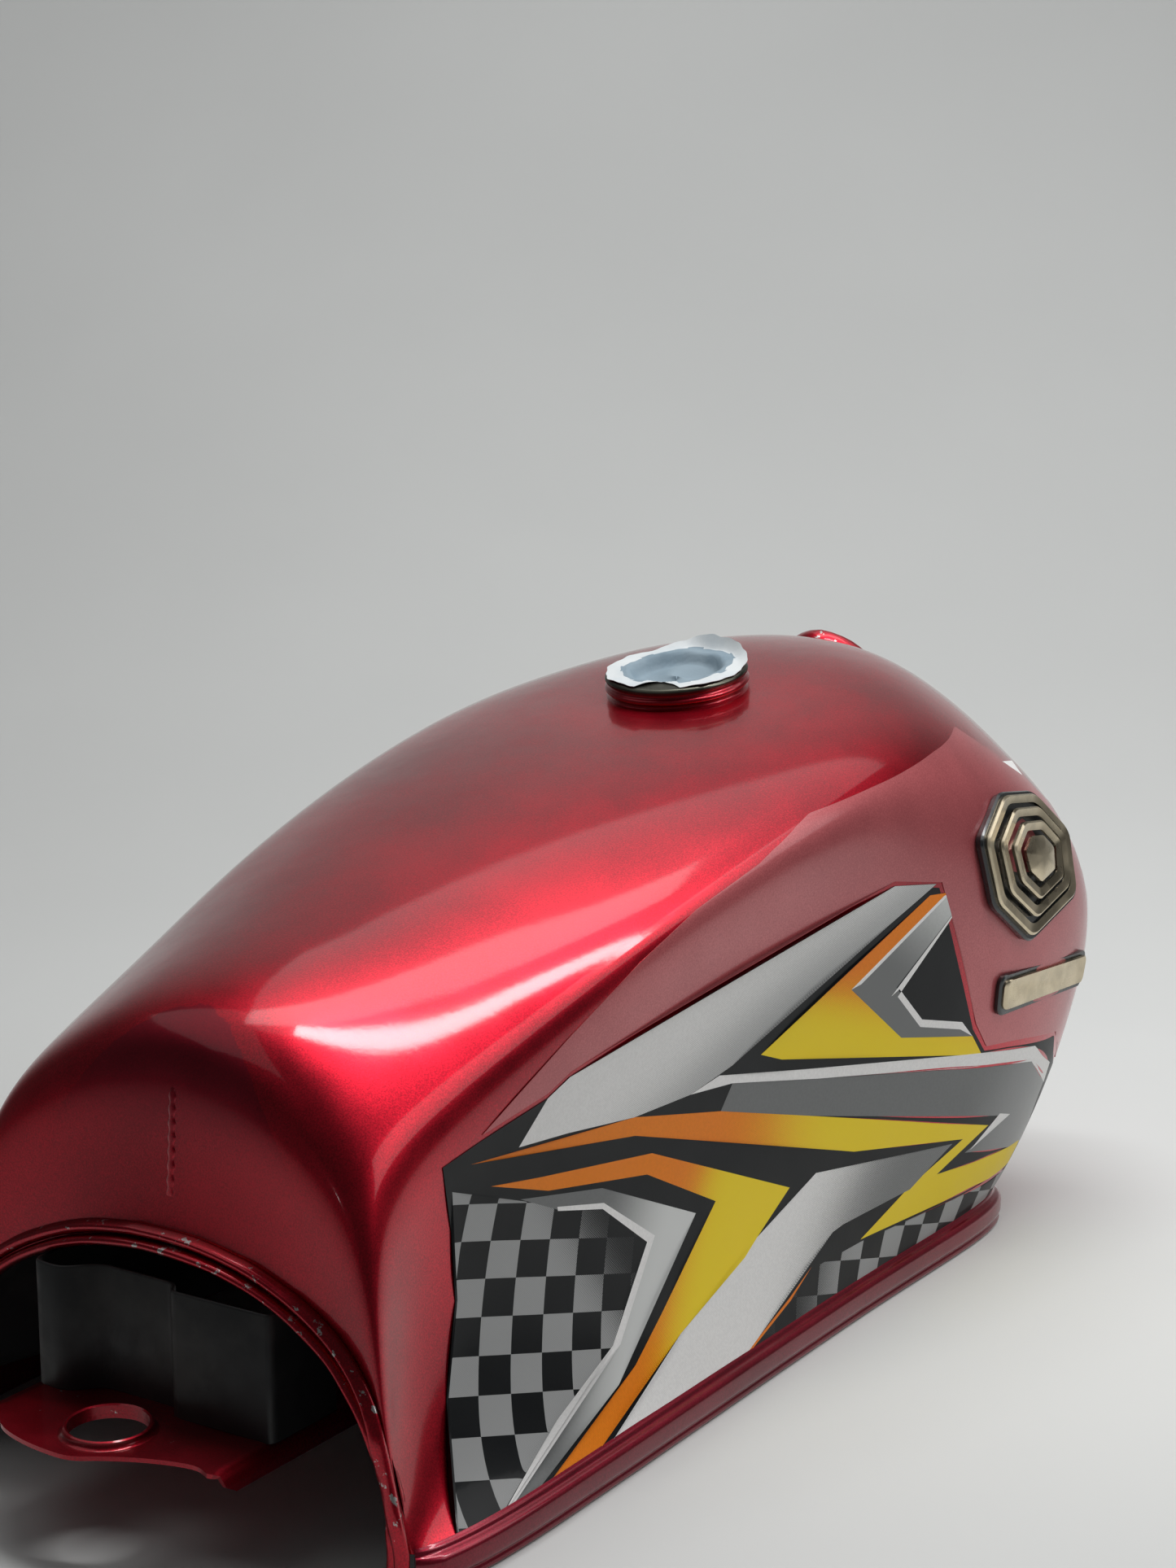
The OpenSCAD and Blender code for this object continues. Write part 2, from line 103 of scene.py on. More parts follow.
def weights(count, fractions):
    """Rows of clamped cubic B-spline weights, one for each fraction of the way along count points."""
    t = np.clip(fractions, 0, 1 - 1e-9) * (count - 3)
    knot = np.clip(np.arange(count + 4) - 3, 0, count - 3)
    w = [((t >= knot[i]) & (t < knot[i + 1])).astype(float) for i in range(count + 3)]
    for degree in (1, 2, 3):
        w = [ramp(t, knot[i], knot[i + degree]) * w[i]
             + (1 - ramp(t, knot[i + 1], knot[i + degree + 1])) * w[i + 1]
             for i in range(count + 3 - degree)]
    return np.stack(w, axis=1)


def surface(cage, us, vs):
    """Points of the sheet over a cage, in metres, for every pair of fractions along and across it."""
    return MM * np.einsum("ui,ijk,vj->uvk", weights(len(cage), us), cage, weights(len(cage[0]), vs))


def unit(v):
    return v / np.maximum(np.linalg.norm(v, axis=-1, keepdims=True), 1e-12)


def outward(cage, us, vs):
    """Unit normals of a left-hand sheet, pointing away from the fuel."""
    step = 1e-4
    along = surface(cage, us + step, vs) - surface(cage, us - step, vs)
    across = surface(cage, us, vs + step) - surface(cage, us, vs - step)
    return unit(np.cross(along, across))


def pan_cage():
    """Cage of the tunnel pan, which shares its edges with the shell's cage."""
    rows = [CAGE[0]]
    for i, (x, roof, half) in enumerate(TUNNEL, start=1):
        seam = CAGE[i][8]
        inner = np.array([x, half + 4, 26])
        flat = np.array([seam[0], seam[1], 18])
        rows.append(np.array([
            [x, 0, roof], [x, 0.42 * half, roof], [x, 0.78 * half, 0.86 * roof],
            [x, 0.96 * half, 0.62 * roof], [x, half, 0.4 * roof], inner,
            inner + 0.45 * (flat - inner), inner + 0.8 * (flat - inner), seam,
        ]))
    return np.array(rows + [CAGE[-1]])


# ---------------------------------------------------------------- mesh tools
def grid_faces(nu, nv):
    return [(i * nv + j, (i + 1) * nv + j, (i + 1) * nv + j + 1, i * nv + j + 1)
            for i in range(nu - 1) for j in range(nv - 1)]


def make_piece(name, verts, faces, materials, body="tank"):
    mesh = bpy.data.meshes.new(name)
    mesh.from_pydata([tuple(v) for v in verts], [], faces)
    mesh.polygons.foreach_set("use_smooth", [True] * len(mesh.polygons))
    piece = bpy.data.objects.new(name, mesh)
    bpy.context.scene.collection.objects.link(piece)
    for material in materials:
        mesh.materials.append(material)
    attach(piece, body)
    return piece


def face_normals(verts, faces):
    corner = np.array([verts[f[0]] for f in faces])
    a = np.array([verts[f[1]] for f in faces]) - corner
    b = np.array([verts[f[-1]] for f in faces]) - corner
    return unit(np.cross(a, b))


def solid_sheet(name, points, faces, normal, depth, materials, inks=None, body="tank"):
    """A closed thin solid: the outer sheet, a copy depth inwards and a rim along the open edges."""
    n = len(points)
    edges = {(a, b) for f in faces for a, b in zip(f, f[1:] + f[:1])}
    rim = sorted((a, b) for a, b in edges if (b, a) not in edges)
    verts = np.concatenate([points, points - depth * normal])
    back = [tuple(n + k for k in reversed(f)) for f in faces]
    sides = [(b, a, a + n, b + n) for a, b in rim]
    piece = make_piece(name, verts, faces + back + sides, materials, body)
    flat = face_normals(verts, sides) if sides else np.zeros((0, 3))
    loops = [normal[k] for f in faces for k in f]
    loops += [-normal[k - n] for f in back for k in f]
    loops += [flat[i] for i, f in enumerate(sides) for _ in f]
    piece.data.normals_split_custom_set([tuple(v) for v in loops])
    if inks is not None:
        piece.data.polygons.foreach_set("material_index", list(inks) * 2 + [0] * len(sides))
    return piece


def flip(points, side):
    """The points, mirrored to the tank's right where side is RIGHT."""
    return points * np.array([1, side, 1])


def turned(faces, side):
    return faces if side == LEFT else [tuple(reversed(f)) for f in faces]


def loft(name, rings, material, closed=False, crease=40):
    """A solid through rings of points. Its two ends are capped unless it closes on itself."""
    rings = np.array(rings)
    count, n = rings.shape[:2]
    faces = []
    for i in range(count if closed else count - 1):
        k = (i + 1) % count
        for j in range(n):
            m = (j + 1) % n
            faces.append((i * n + j, i * n + m, k * n + m, k * n + j))
    if not closed:
        faces.append(tuple(reversed(range(n))))
        faces.append(tuple((count - 1) * n + j for j in range(n)))
    verts = rings.reshape(-1, 3)
    centre = verts.mean(0)
    volume = sum(np.dot(verts[f[0]] - centre, np.cross(verts[f[k]] - centre, verts[f[k + 1]] - centre))
                 for f in faces for k in range(1, len(f) - 1))
    if volume < 0:
        faces = [tuple(reversed(f)) for f in faces]
    piece = make_piece(name, verts, faces, [material])
    piece.data.set_sharp_from_angle(angle=math.radians(crease))
    return piece


def smooth_loop(points, steps, closed=True):
    """A Catmull-Rom curve through the points, with steps new points for each of them."""
    p = np.array(points, float)
    n = len(p)
    out = []
    for i in range(n if closed else n - 1):
        a, b, c, d = (p[k % n] if closed else p[min(max(k, 0), n - 1)] for k in (i - 1, i, i + 1, i + 2))
        for s in range(steps):
            t = s / steps
            out.append(0.5 * (2 * b + (c - a) * t + (2 * a - 5 * b + 4 * c - d) * t ** 2
                              + (3 * b - a - 3 * c + d) * t ** 3))
    if not closed:
        out.append(p[-1])
    return np.array(out)


def waves(points, size, seed):
    """Smooth pseudo-random values from -1 to 1 at the points, with bumps about size metres across."""
    rng = np.random.default_rng(seed)
    total = np.zeros(len(points))
    for _ in range(6):
        direction = rng.normal(size=3)
        direction *= 2 * math.pi / (size * np.linalg.norm(direction) * rng.uniform(0.7, 1.6))
        total += np.sin(points @ direction + rng.uniform(0, 2 * math.pi))
    return total / 6


# ---------------------------------------------------------------- material tools
def add(tree, kind, settings=None, **inputs):
    made = tree.nodes.new(kind)
    for name, value in (settings or {}).items():
        setattr(made, name, value)
    for name, value in inputs.items():
        socket = made.inputs[name.replace("_", " ")]
        if isinstance(value, bpy.types.NodeSocket):
            tree.links.new(value, socket)
        else:
            socket.default_value = value
    return made


def maths(tree, operation, *values):
    made = tree.nodes.new("ShaderNodeMath")
    made.operation = operation
    for socket, value in zip(made.inputs, values):
        if isinstance(value, bpy.types.NodeSocket):
            tree.links.new(value, socket)
        else:
            socket.default_value = value
    return made.outputs[0]


def place(tree):
    return add(tree, "ShaderNodeTexCoord").outputs["Object"]


def axes(tree):
    """The X, Y and Z of each point as three sockets."""
    return add(tree, "ShaderNodeSeparateXYZ", Vector=place(tree)).outputs


def noise(tree, scale, detail=3.0, roughness=0.5, stretch=None):
    where = place(tree)
    if stretch:
        where = add(tree, "ShaderNodeMapping", Vector=where, Scale=stretch).outputs[0]
    made = add(tree, "ShaderNodeTexNoise", Vector=where, Scale=scale, Detail=detail, Roughness=roughness)
    return made.outputs["Fac"]


def between(tree, value, low, high, out_low=0.0, out_high=1.0):
    """value taken smoothly from the range low..high to out_low..out_high."""
    made = tree.nodes.new("ShaderNodeMapRange")
    made.interpolation_type = "SMOOTHSTEP"
    tree.links.new(value, made.inputs["Value"])
    for name, number in (("From Min", low), ("From Max", high), ("To Min", out_low), ("To Max", out_high)):
        made.inputs[name].default_value = number
    return made.outputs[0]


def mix(tree, factor, a, b):
    made = tree.nodes.new("ShaderNodeMix")
    made.data_type = "RGBA"
    for socket, value in ((made.inputs[0], factor), (made.inputs[6], a), (made.inputs[7], b)):
        if isinstance(value, bpy.types.NodeSocket):
            tree.links.new(value, socket)
        elif isinstance(value, (int, float)):
            socket.default_value = value
        else:
            socket.default_value = (*value, 1)
    return made.outputs[2]


def bump(tree, height, strength, distance=0.0005, under=None):
    made = add(tree, "ShaderNodeBump", Height=height, Strength=strength, Distance=distance)
    if under is not None:
        tree.links.new(under, made.inputs["Normal"])
    return made.outputs[0]


def start_material(name, **inputs):
    """A material with one shader, whose constant inputs are given here."""
    material = bpy.data.materials.new(name)
    material.use_nodes = True
    tree = material.node_tree
    shader = tree.nodes["Principled BSDF"]
    for key, value in inputs.items():
        shader.inputs[key.replace("_", " ")].default_value = value
    return material, tree, shader


def use(tree, shader, **links):
    for key, value in links.items():
        tree.links.new(value, shader.inputs[key.replace("_", " ")])


# ---------------------------------------------------------------- materials
def candy_paint(name, deep, bright, dull=0.0, chips=0.0, metal=0.88):
    """Metallic red under clear coat: fine flakes, slight orange peel, and bare-metal chips if asked."""
    material, tree, shader = start_material(
        name, Metallic=metal, Roughness=0.34 + dull, Coat_Weight=1.0, Coat_Roughness=0.085 + dull / 3,
        Coat_IOR=1.36)
    flakes = noise(tree, 1600, 2.0)
    clouds = noise(tree, 9, 3.0)
    tone = maths(tree, "ADD", maths(tree, "MULTIPLY", flakes, 0.5), maths(tree, "MULTIPLY", clouds, 0.5))
    colour = mix(tree, between(tree, tone, 0.35, 0.65), deep, bright)
    rough = between(tree, noise(tree, 60, 4.0), 0.3, 0.7, 0.31 + dull, 0.38 + dull)
    if chips:
        spots = between(tree, noise(tree, 170, 5.0, 0.65), 1 - chips, 1 - chips + 0.03)
        colour = mix(tree, spots, colour, (0.55, 0.53, 0.52))
    use(tree, shader, Base_Color=colour, Roughness=rough)
    use(tree, shader, Normal=bump(tree, flakes, 0.12, 0.0001))
    peel = bump(tree, noise(tree, 420, 2.0), 0.06, 0.0002)
    use(tree, shader, Coat_Normal=bump(tree, noise(tree, 26, 2.0), 0.05, 0.001, peel))
    return material


def tail_paint(name, deep, bright):
    """The shell's candy paint, with the duller patch that ends in a ragged arc below the tail's crest."""
    material = candy_paint(name, deep, bright)
    tree = material.node_tree
    shader = tree.nodes["Principled BSDF"]
    where = axes(tree)
    across = maths(tree, "MULTIPLY", maths(tree, "POWER", maths(tree, "ABSOLUTE", where[1]), 2.0), 16.0)
    edge = maths(tree, "ADD", where[2], across)
    ragged = maths(tree, "ADD", edge, maths(tree, "MULTIPLY", noise(tree, 180, 3.0), 0.003))
    below = between(tree, ragged, 0.1765, 0.1771, 1.0, 0.0)
    below = maths(tree, "MULTIPLY", below, between(tree, where[2], 0.12, 0.165))
    behind = between(tree, where[0], -0.14, -0.15)
    inside = maths(tree, "MULTIPLY", below, behind)
    plain = shader.inputs["Base Color"].links[0].from_socket
    use(tree, shader, Base_Color=mix(tree, maths(tree, "MULTIPLY", inside, 0.6), plain, (0.2, 0.004, 0.02)))
    return material


def primer(name):
    """Black primer under patches of pale dust."""
    tone = 0.016
    material, tree, shader = start_material(name, Specular_IOR_Level=0.4)
    dust = between(tree, noise(tree, 24, 5.0, 0.6), 0.45, 0.75)
    colour = mix(tree, dust, (tone, tone, tone * 1.08), (tone * 2.6, tone * 2.4, tone * 2.3))
    use(tree, shader, Base_Color=colour, Roughness=between(tree, noise(tree, 90, 4.0), 0.3, 0.7, 0.38, 0.56))
    use(tree, shader, Normal=bump(tree, noise(tree, 700, 2.0), 0.15, 0.0002))
    return material


def bare_metal(name, tone, rough, tint=(1, 1, 1)):
    material, tree, shader = start_material(name, Metallic=1.0)
    light = [tone * 1.08 * c for c in tint]
    dark = [tone * 0.86 * c for c in tint]
    colour = mix(tree, between(tree, noise(tree, 130, 5.0), 0.3, 0.7), dark, light)
    use(tree, shader, Base_Color=colour)
    use(tree, shader, Roughness=between(tree, noise(tree, 60, 4.0), 0.3, 0.7, rough - 0.08, rough + 0.1))
    brushed = noise(tree, 900, 2.0, 0.5, (1, 0.15, 1))
    use(tree, shader, Normal=bump(tree, brushed, 0.08, 0.0001))
    return material


def paper(name, tone):
    """Torn waxed paper: fibres, a few creases and faint blue-grey stains."""
    material, tree, shader = start_material(name, Roughness=0.82, Specular_IOR_Level=0.25)
    fibre = noise(tree, 900, 4.0, 0.7)
    stain = between(tree, noise(tree, 70, 3.0), 0.4, 0.75)
    light = [c * 0.96 for c in tone]
    colour = mix(tree, stain, tone, [light[0] * 0.88, light[1] * 0.92, light[2] * 0.95])
    use(tree, shader, Base_Color=colour)
    creases = bump(tree, noise(tree, 160, 3.0), 0.35, 0.0006)
    use(tree, shader, Normal=bump(tree, fibre, 0.3, 0.0002, creases))
    return material


def gloss_black(name):
    material, tree, shader = start_material(name, Coat_Weight=0.4, Coat_Roughness=0.08)
    use(tree, shader, Base_Color=mix(tree, noise(tree, 200, 3.0), (0.008, 0.01, 0.011), (0.02, 0.023, 0.025)))
    use(tree, shader, Roughness=between(tree, noise(tree, 120, 3.0), 0.3, 0.7, 0.22, 0.36))
    use(tree, shader, Normal=bump(tree, noise(tree, 500, 2.0), 0.08, 0.0002))
    return material


def halftone(tree, share, pitch=0.8):
    """Turns a share from 0 to 1 into dots of a printer's screen, pitch mm apart, on the tank's side."""
    where = axes(tree)
    turn = 2 * math.pi / (pitch * MM)
    along = maths(tree, "SINE", maths(tree, "MULTIPLY", maths(tree, "ADD", where[0], where[2]), turn))
    across = maths(tree, "SINE", maths(tree, "MULTIPLY", maths(tree, "SUBTRACT", where[0], where[2]), turn))
    screen = maths(tree, "MULTIPLY_ADD", maths(tree, "ADD", along, across), 0.25, 0.5)
    ink = maths(tree, "MULTIPLY_ADD", maths(tree, "SUBTRACT", share, screen), 3.0, 0.5)
    made = tree.nodes.new("ShaderNodeClamp")
    tree.links.new(ink, made.inputs[0])
    return made.outputs[0]


def way(tree, start, end):
    """How far each point has gone from start to end, (x, z) points in mm on the tank's side, 0 to 1."""
    (x0, z0), (x1, z1) = start, end
    dx, dz = (x1 - x0) * MM, (z1 - z0) * MM
    size = dx * dx + dz * dz
    where = axes(tree)
    x = maths(tree, "MULTIPLY", maths(tree, "SUBTRACT", where[0], x0 * MM), dx / size)
    z = maths(tree, "MULTIPLY", maths(tree, "SUBTRACT", where[2], z0 * MM), dz / size)
    return maths(tree, "ADD", x, z)


def vinyl(name, first, second=None, start=None, end=None, fine=False):
    """Printed vinyl in one ink, or two inks that meet in a halftone screen between start and end."""
    material, tree, shader = start_material(
        name, Coat_Weight=0.18, Coat_Roughness=0.1, Specular_IOR_Level=0.1)
    colour = mix(tree, between(tree, noise(tree, 900, 2.0), 0.35, 0.65), [c * 0.94 for c in first], first)
    if second:
        share = way(tree, start, end)
        share = between(tree, share, 0.0, 1.0) if fine else halftone(tree, between(tree, share, 0.0, 1.0))
        colour = mix(tree, share, colour, second)
    use(tree, shader, Base_Color=colour)
    use(tree, shader, Roughness=between(tree, noise(tree, 40, 4.0), 0.3, 0.7, 0.34, 0.46))
    waviness = bump(tree, noise(tree, 45, 3.0), 0.06, 0.0008)
    use(tree, shader, Normal=bump(tree, noise(tree, 600, 2.0), 0.1, 0.0002, waviness))
    use(tree, shader, Coat_Normal=bump(tree, noise(tree, 380, 2.0), 0.1, 0.0002))
    return material


SILVER = (0.62, 0.63, 0.62)
GREY = (0.17, 0.175, 0.175)
MID_GREY = (0.33, 0.335, 0.335)
WHITE = (0.8, 0.79, 0.78)
BLACK = (0.009, 0.010, 0.011)
ORANGE = (0.78, 0.2, 0.012)
YELLOW = (0.82, 0.62, 0.02)
DEEP_RED = (0.26, 0.002, 0.012)
BRIGHT_RED = (0.56, 0.005, 0.022)

PAINT = tail_paint("candy_red_paint", DEEP_RED, BRIGHT_RED)
LIP_PAINT = candy_paint("lip_paint", DEEP_RED, BRIGHT_RED, dull=-0.03, chips=0.39)
# Same candy red as the shell, a little rougher; its colour at half the brightness is painted shade on the
# bottom seam.
SHADED_SEAM_PAINT = candy_paint("seam_paint_painted_shade", (0.14, 0.004, 0.014), (0.26, 0.008, 0.026), dull=0.08)
NECK_PAINT = candy_paint("neck_paint", (0.2, 0.003, 0.01), (0.4, 0.006, 0.02), dull=0.02)
PLATE_PAINT = candy_paint("plate_paint", (0.2, 0.003, 0.01), (0.42, 0.006, 0.02), dull=0.06, chips=0.3)
# Matt clear film over the red; its lighter greyish-pink colour is partly the film's own haze and partly a
# painted reflection of the bright room.
FILM_WITH_PAINTED_HAZE = candy_paint("clear_film_over_red_painted_haze", (0.38, 0.075, 0.085), (0.52, 0.12, 0.13), dull=0.14, metal=0.55)
PRIMER = primer("black_primer")
GOLD = bare_metal("champagne_gold", 0.62, 0.3, (1.0, 0.86, 0.62))
# Bare steel rim band; its near-black tone is painted dark reflection, far darker than the steel's own colour.
STEEL_RIM_AND_PAINTED_REFLECTION = bare_metal("steel_rim_painted_dark_reflection", 0.09, 0.35, (1.0, 1.0, 0.8))
ZINC = bare_metal("zinc_plate", 0.5, 0.4)
BRASS = bare_metal("machined_brass", 0.6, 0.35, (1.0, 0.8, 0.42))
PAPER = paper("torn_paper", (0.66, 0.69, 0.70))
# Same paper as the ring, darker and blue-grey: painted shade on the centre that sags into the mouth.
SHADED_PAPER_CENTRE = paper("sagging_paper_painted_shade", (0.25, 0.32, 0.37))
PLASTIC = gloss_black("badge_black")


# ---------------------------------------------------------------- filler axis
NECK_FOOT = np.array([108, 0, 239]) * MM
NECK_TILT = math.radians(9)
NECK_AXIS = np.array([-math.sin(NECK_TILT), 0, math.cos(NECK_TILT)])
NECK_AHEAD = np.array([math.cos(NECK_TILT), 0, math.sin(NECK_TILT)])
NECK_H = 11


def at_neck(radius, angle, height):
    """A point around the filler's axis. Angle 0 is towards the front; sizes are in mm."""
    side = np.array([0, 1, 0])
    return NECK_FOOT + MM * (radius * (math.cos(angle) * NECK_AHEAD + math.sin(angle) * side)
                             + height * NECK_AXIS)


# ---------------------------------------------------------------- shell
def skin(side_name):
    """One pressed half of the shell, with the hole that the filler neck stands in."""
    side = SIDES[side_name]
    us, vs = np.linspace(0, 1, 201), np.linspace(0, 1, 131)
    points = surface(CAGE, us, vs).reshape(-1, 3)
    normal = outward(CAGE, us, vs).reshape(-1, 3)
    reach = points - NECK_FOOT
    radial = reach - np.outer(reach @ NECK_AXIS, NECK_AXIS)
    radius = np.linalg.norm(radial, axis=1)
    hole = 28 * MM
    inside = (radius < hole) & (points[:, 2] > 0.2)
    faces = [f for f in grid_faces(len(us), len(vs)) if not all(inside[list(f)])]
    push = np.where(inside, (hole - radius) / np.maximum(radius, 1e-6), 0)
    points = points + radial * push[:, None]
    used = sorted({k for f in faces for k in f})
    order = {k: i for i, k in enumerate(used)}
    faces = [tuple(order[k] for k in f) for f in faces]
    piece = solid_sheet(f"shell_{side_name}", flip(points[used], side), turned(faces, side),
                        flip(normal[used], side), SHEET_T * MM, [PAINT])
    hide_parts(f"skin_{side_name}")
    return piece


def tail_weld():
    """The dressed weld between the halves, from below the tail's crest to the arch."""
    us = np.linspace(0.045, 0.135, 40)
    line = surface(CAGE, us, np.array([0.0]))[:, 0]
    normal = outward(CAGE, us, np.array([0.0]))[:, 0]
    rings = []
    for i, (p, n) in enumerate(zip(line, normal)):
        fade = math.sin(math.pi * i / (len(us) - 1)) ** 0.4
        half = (1.6 + 0.4 * math.sin(1.3 * i)) * MM
        ring = [p + half * math.cos(a) * np.array([0, 1, 0]) + n * MM * (0.9 * fade * math.sin(a) - 0.25)
                for a in np.linspace(0, 2 * math.pi, 14, endpoint=False)]
        rings.append(ring)
    piece = loft("tail_weld_bead", rings, PAINT)
    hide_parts("tail_weld")


def tunnel():
    """The pan that closes the tank below and forms the tunnel over the frame, in black primer."""
    cage = pan_cage()
    us, vs = np.linspace(0, 1, 111), np.linspace(0, 1, 71)
    points = surface(cage, us, vs)
    normal = outward(cage, us, vs)
    both = np.concatenate([flip(points[:, :0:-1], RIGHT), points], axis=1)
    facing = np.concatenate([flip(normal[:, :0:-1], RIGHT), normal], axis=1)
    nu, nv = both.shape[:2]
    piece = solid_sheet("tunnel_pan_sheet", both.reshape(-1, 3), grid_faces(nu, nv),
                        facing.reshape(-1, 3), SHEET_T * MM, [PRIMER])
    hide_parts("tunnel_pan")


# Outline of the rolled seam: how far out of the shell's edge and how high, in mm
SEAM_OUTLINE = [
    [-1.0, 14.6], [0.2, 14.9], [0.9, 14.3], [1.5, 13.2], [3.1, 12.6], [4.3, 11.2], [4.6, 9],
    [4.5, 5.4], [3.9, 4.3], [3.3, 3.5], [3.8, 2.4], [3.9, 1.2], [3.1, 0.3], [1.6, 0.0], [-0.8, 0.0],
    [-1.2, 2],
]


def seam_roll(side_name):
    """The rolled bottom edge, where shell and pan are folded together."""
    side = SIDES[side_name]
    us = np.linspace(0.052, 0.975, 190)
    line = surface(CAGE, us, np.array([1.0]))[:, 0]
    along = unit(np.gradient(line, axis=0) * np.array([1, 1, 0]))
    out = np.stack([-along[:, 1], along[:, 0], np.zeros(len(us))], axis=1)
    outline = smooth_loop(SEAM_OUTLINE, 3)
    outline[:, 1] = np.clip(outline[:, 1], 0, None)
    swell = waves(line, 0.05, 4) * 0.12
    rings = []
    for i, (p, o) in enumerate(zip(line, out)):
        end = min(1, 6 * min(i, len(us) - 1 - i) / len(us) + 0.55)
        ring = []
        for s, h in outline:
            reach = MM * (s * end + swell[i])
            ring.append([p[0] + o[0] * reach, p[1] + o[1] * reach, h * MM])
        rings.append(ring)
    piece = loft(f"seam_bead_{side_name}", flip(np.array(rings), side), SHADED_SEAM_PAINT)
    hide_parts(f"seam_roll_{side_name}")


# Points down each foot of an arch, from the seam's height to the floor
FOOT_STEPS = 5


def arch_frames(at_rear):
    """Along an arch, from foot to foot: points, directions away from the opening, and outward facing."""
    start, step = (0.0, 0.01) if at_rear else (1.0, -0.01)
    vs = np.linspace(0, 1, 70)
    edge = surface(CAGE, np.array([start]), vs)[0]
    away = unit(surface(CAGE, np.array([start + step]), vs)[0] - edge)
    facing = outward(CAGE, np.array([start]), vs)[0]
    parts_down = [k / FOOT_STEPS for k in range(1, FOOT_STEPS + 1)]
    floor = [edge[-1] * np.array([1, 1, 1 - part]) for part in parts_down]
    edge = np.concatenate([edge, floor])
    last_away = unit(away[-1] * np.array([1, 1, 0]) + np.array([0, 1e-6, 0]))
    turn = [unit(away[-1] + (last_away - away[-1]) * part) for part in parts_down]
    away = np.concatenate([away, turn])
    facing = np.concatenate([facing, [facing[-1]] * FOOT_STEPS])
    return [np.concatenate([flip(part[:0:-1], RIGHT), part]) for part in (edge, away, facing)]


def arch_lip(name, at_rear, outline, seed, material):
    """A lip swept round an arch, slightly uneven from the weld and the hand that dressed it."""
    edge, away, facing = arch_frames(at_rear)
    curve = smooth_loop(outline, 3)
    wobble = waves(edge, 0.013, seed)
    drift = waves(edge, 0.06, seed + 1)
    rings = []
    for i in range(len(edge)):
        ring = []
        for a, f in curve:
            size = 1 + 0.07 * wobble[i] + 0.06 * drift[i]
            p = edge[i] + MM * (away[i] * (a * size) + facing[i] * (f * size))
            ring.append([p[0], p[1], max(p[2], 0)])
        rings.append(ring)
    return loft(name, rings, material, crease=60)


def rear_arch():
    """The two rolled lips round the rear arch, with the gap between them."""
    outer = [[6.4, 0.2], [6.2, 2.4], [4.7, 4.7], [3.2, 4.6], [2.2, 3.2], [1.9, 1.2], [3.4, -0.6]]
    inner = [[1.4, -0.6], [1.3, 2.4], [0.4, 5.0], [-0.9, 5.6], [-2.0, 4.8], [-2.5, 2.6], [-2.2, -0.9]]
    shell_lip = arch_lip("rear_lip_shell", True, outer, 11, LIP_PAINT)
    pan_lip = arch_lip("rear_lip_pan", True, inner, 21, LIP_PAINT)
    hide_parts("rear_arch_flange")


def front_arch():
    lip = [[-1, -1.2], [2, 0.2], [2.5, 4], [1.4, 7.2], [0.2, 7.9], [-1.2, 7.2], [-1.2, 4], [-2.3, 1]]
    piece = arch_lip("front_lip", False, lip, 31, LIP_PAINT)
    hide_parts("front_arch_flange")


# ---------------------------------------------------------------- rear bracket
PLATE_Z = 36
PLATE_T = 1.6
BRACKET_HALF = 53


def rounded(points, radius, steps=6):
    """The open line with each inner corner turned into an arc-like curve."""
    p = [np.array(q, float) for q in points]
    out = [p[0]]
    for a, b, c in zip(p, p[1:], p[2:]):
        cut = min(radius, 0.45 * np.linalg.norm(b - a), 0.45 * np.linalg.norm(c - b))
        start = b + (a - b) / np.linalg.norm(a - b) * cut
        end = b + (c - b) / np.linalg.norm(c - b) * cut
        for t in np.linspace(0, 1, steps):
            out.append((1 - t) ** 2 * start + 2 * t * (1 - t) * b + t ** 2 * end)
    out.append(p[-1])
    return np.array(out)


def rear_stay():
    """The pleated black sheet that stands inside the arch."""
    base, top, thick = PLATE_Z + PLATE_T, 83.6, 1.6
    line = rounded([[-196, -52.2], [-228, -52.2], [-230.5, -51], [-231.4, -8.6], [-225.4, -5.2],
                    [-225.4, 28], [-236.2, 38], [-235.2, 52.2], [-196, 52.2]], 5)
    side = unit(np.gradient(line, axis=0))
    inner = line + thick * np.stack([-side[:, 1], side[:, 0]], axis=1) * -1
    rings = []
    for a, b in zip(line, inner):
        mid = (a + b) / 2
        rings.append([[*(a * MM), base * MM], [*(a * MM), (top - 0.8) * MM],
                      [*((a + mid) / 2 * MM), (top - 0.1) * MM], [*(mid * MM), top * MM],
                      [*((b + mid) / 2 * MM), (top - 0.1) * MM], [*(b * MM), (top - 0.8) * MM],
                      [*(b * MM), base * MM]])
    piece = loft("stay_sheet", rings, PRIMER, crease=50)
    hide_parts("rear_stay")


def filled(outline, hole, spacing):
    """Triangles inside an outline and outside a hole, with extra points about spacing apart."""
    rings = [np.array(outline, float)] + ([np.array(hole, float)] if hole is not None else [])
    points, edges = [], []
    for ring in rings:
        first = len(points)
        points += [Vector(p) for p in ring]
        edges += [(first + i, first + (i + 1) % len(ring)) for i in range(len(ring))]
    low, high = rings[0].min(0), rings[0].max(0)
    for x in np.arange(low[0] + spacing / 2, high[0], spacing):
        for y in np.arange(low[1] + spacing / 2, high[1], spacing):
            clear = all(np.hypot(*(ring - (x, y)).T).min() > spacing * 0.4 for ring in rings)
            if clear and contains(rings[0], x, y) and not any(contains(r, x, y) for r in rings[1:]):
                points.append(Vector((x, y)))
    verts, _, faces = delaunay_2d_cdt(points, edges, [], 0, 1e-5)[:3]
    verts = np.array([tuple(v) for v in verts])
    keep = []
    for f in faces:
        x, y = verts[list(f)].mean(0)
        if contains(rings[0], x, y) and not any(contains(r, x, y) for r in rings[1:]):
            keep.append(tuple(f))
    return verts, keep


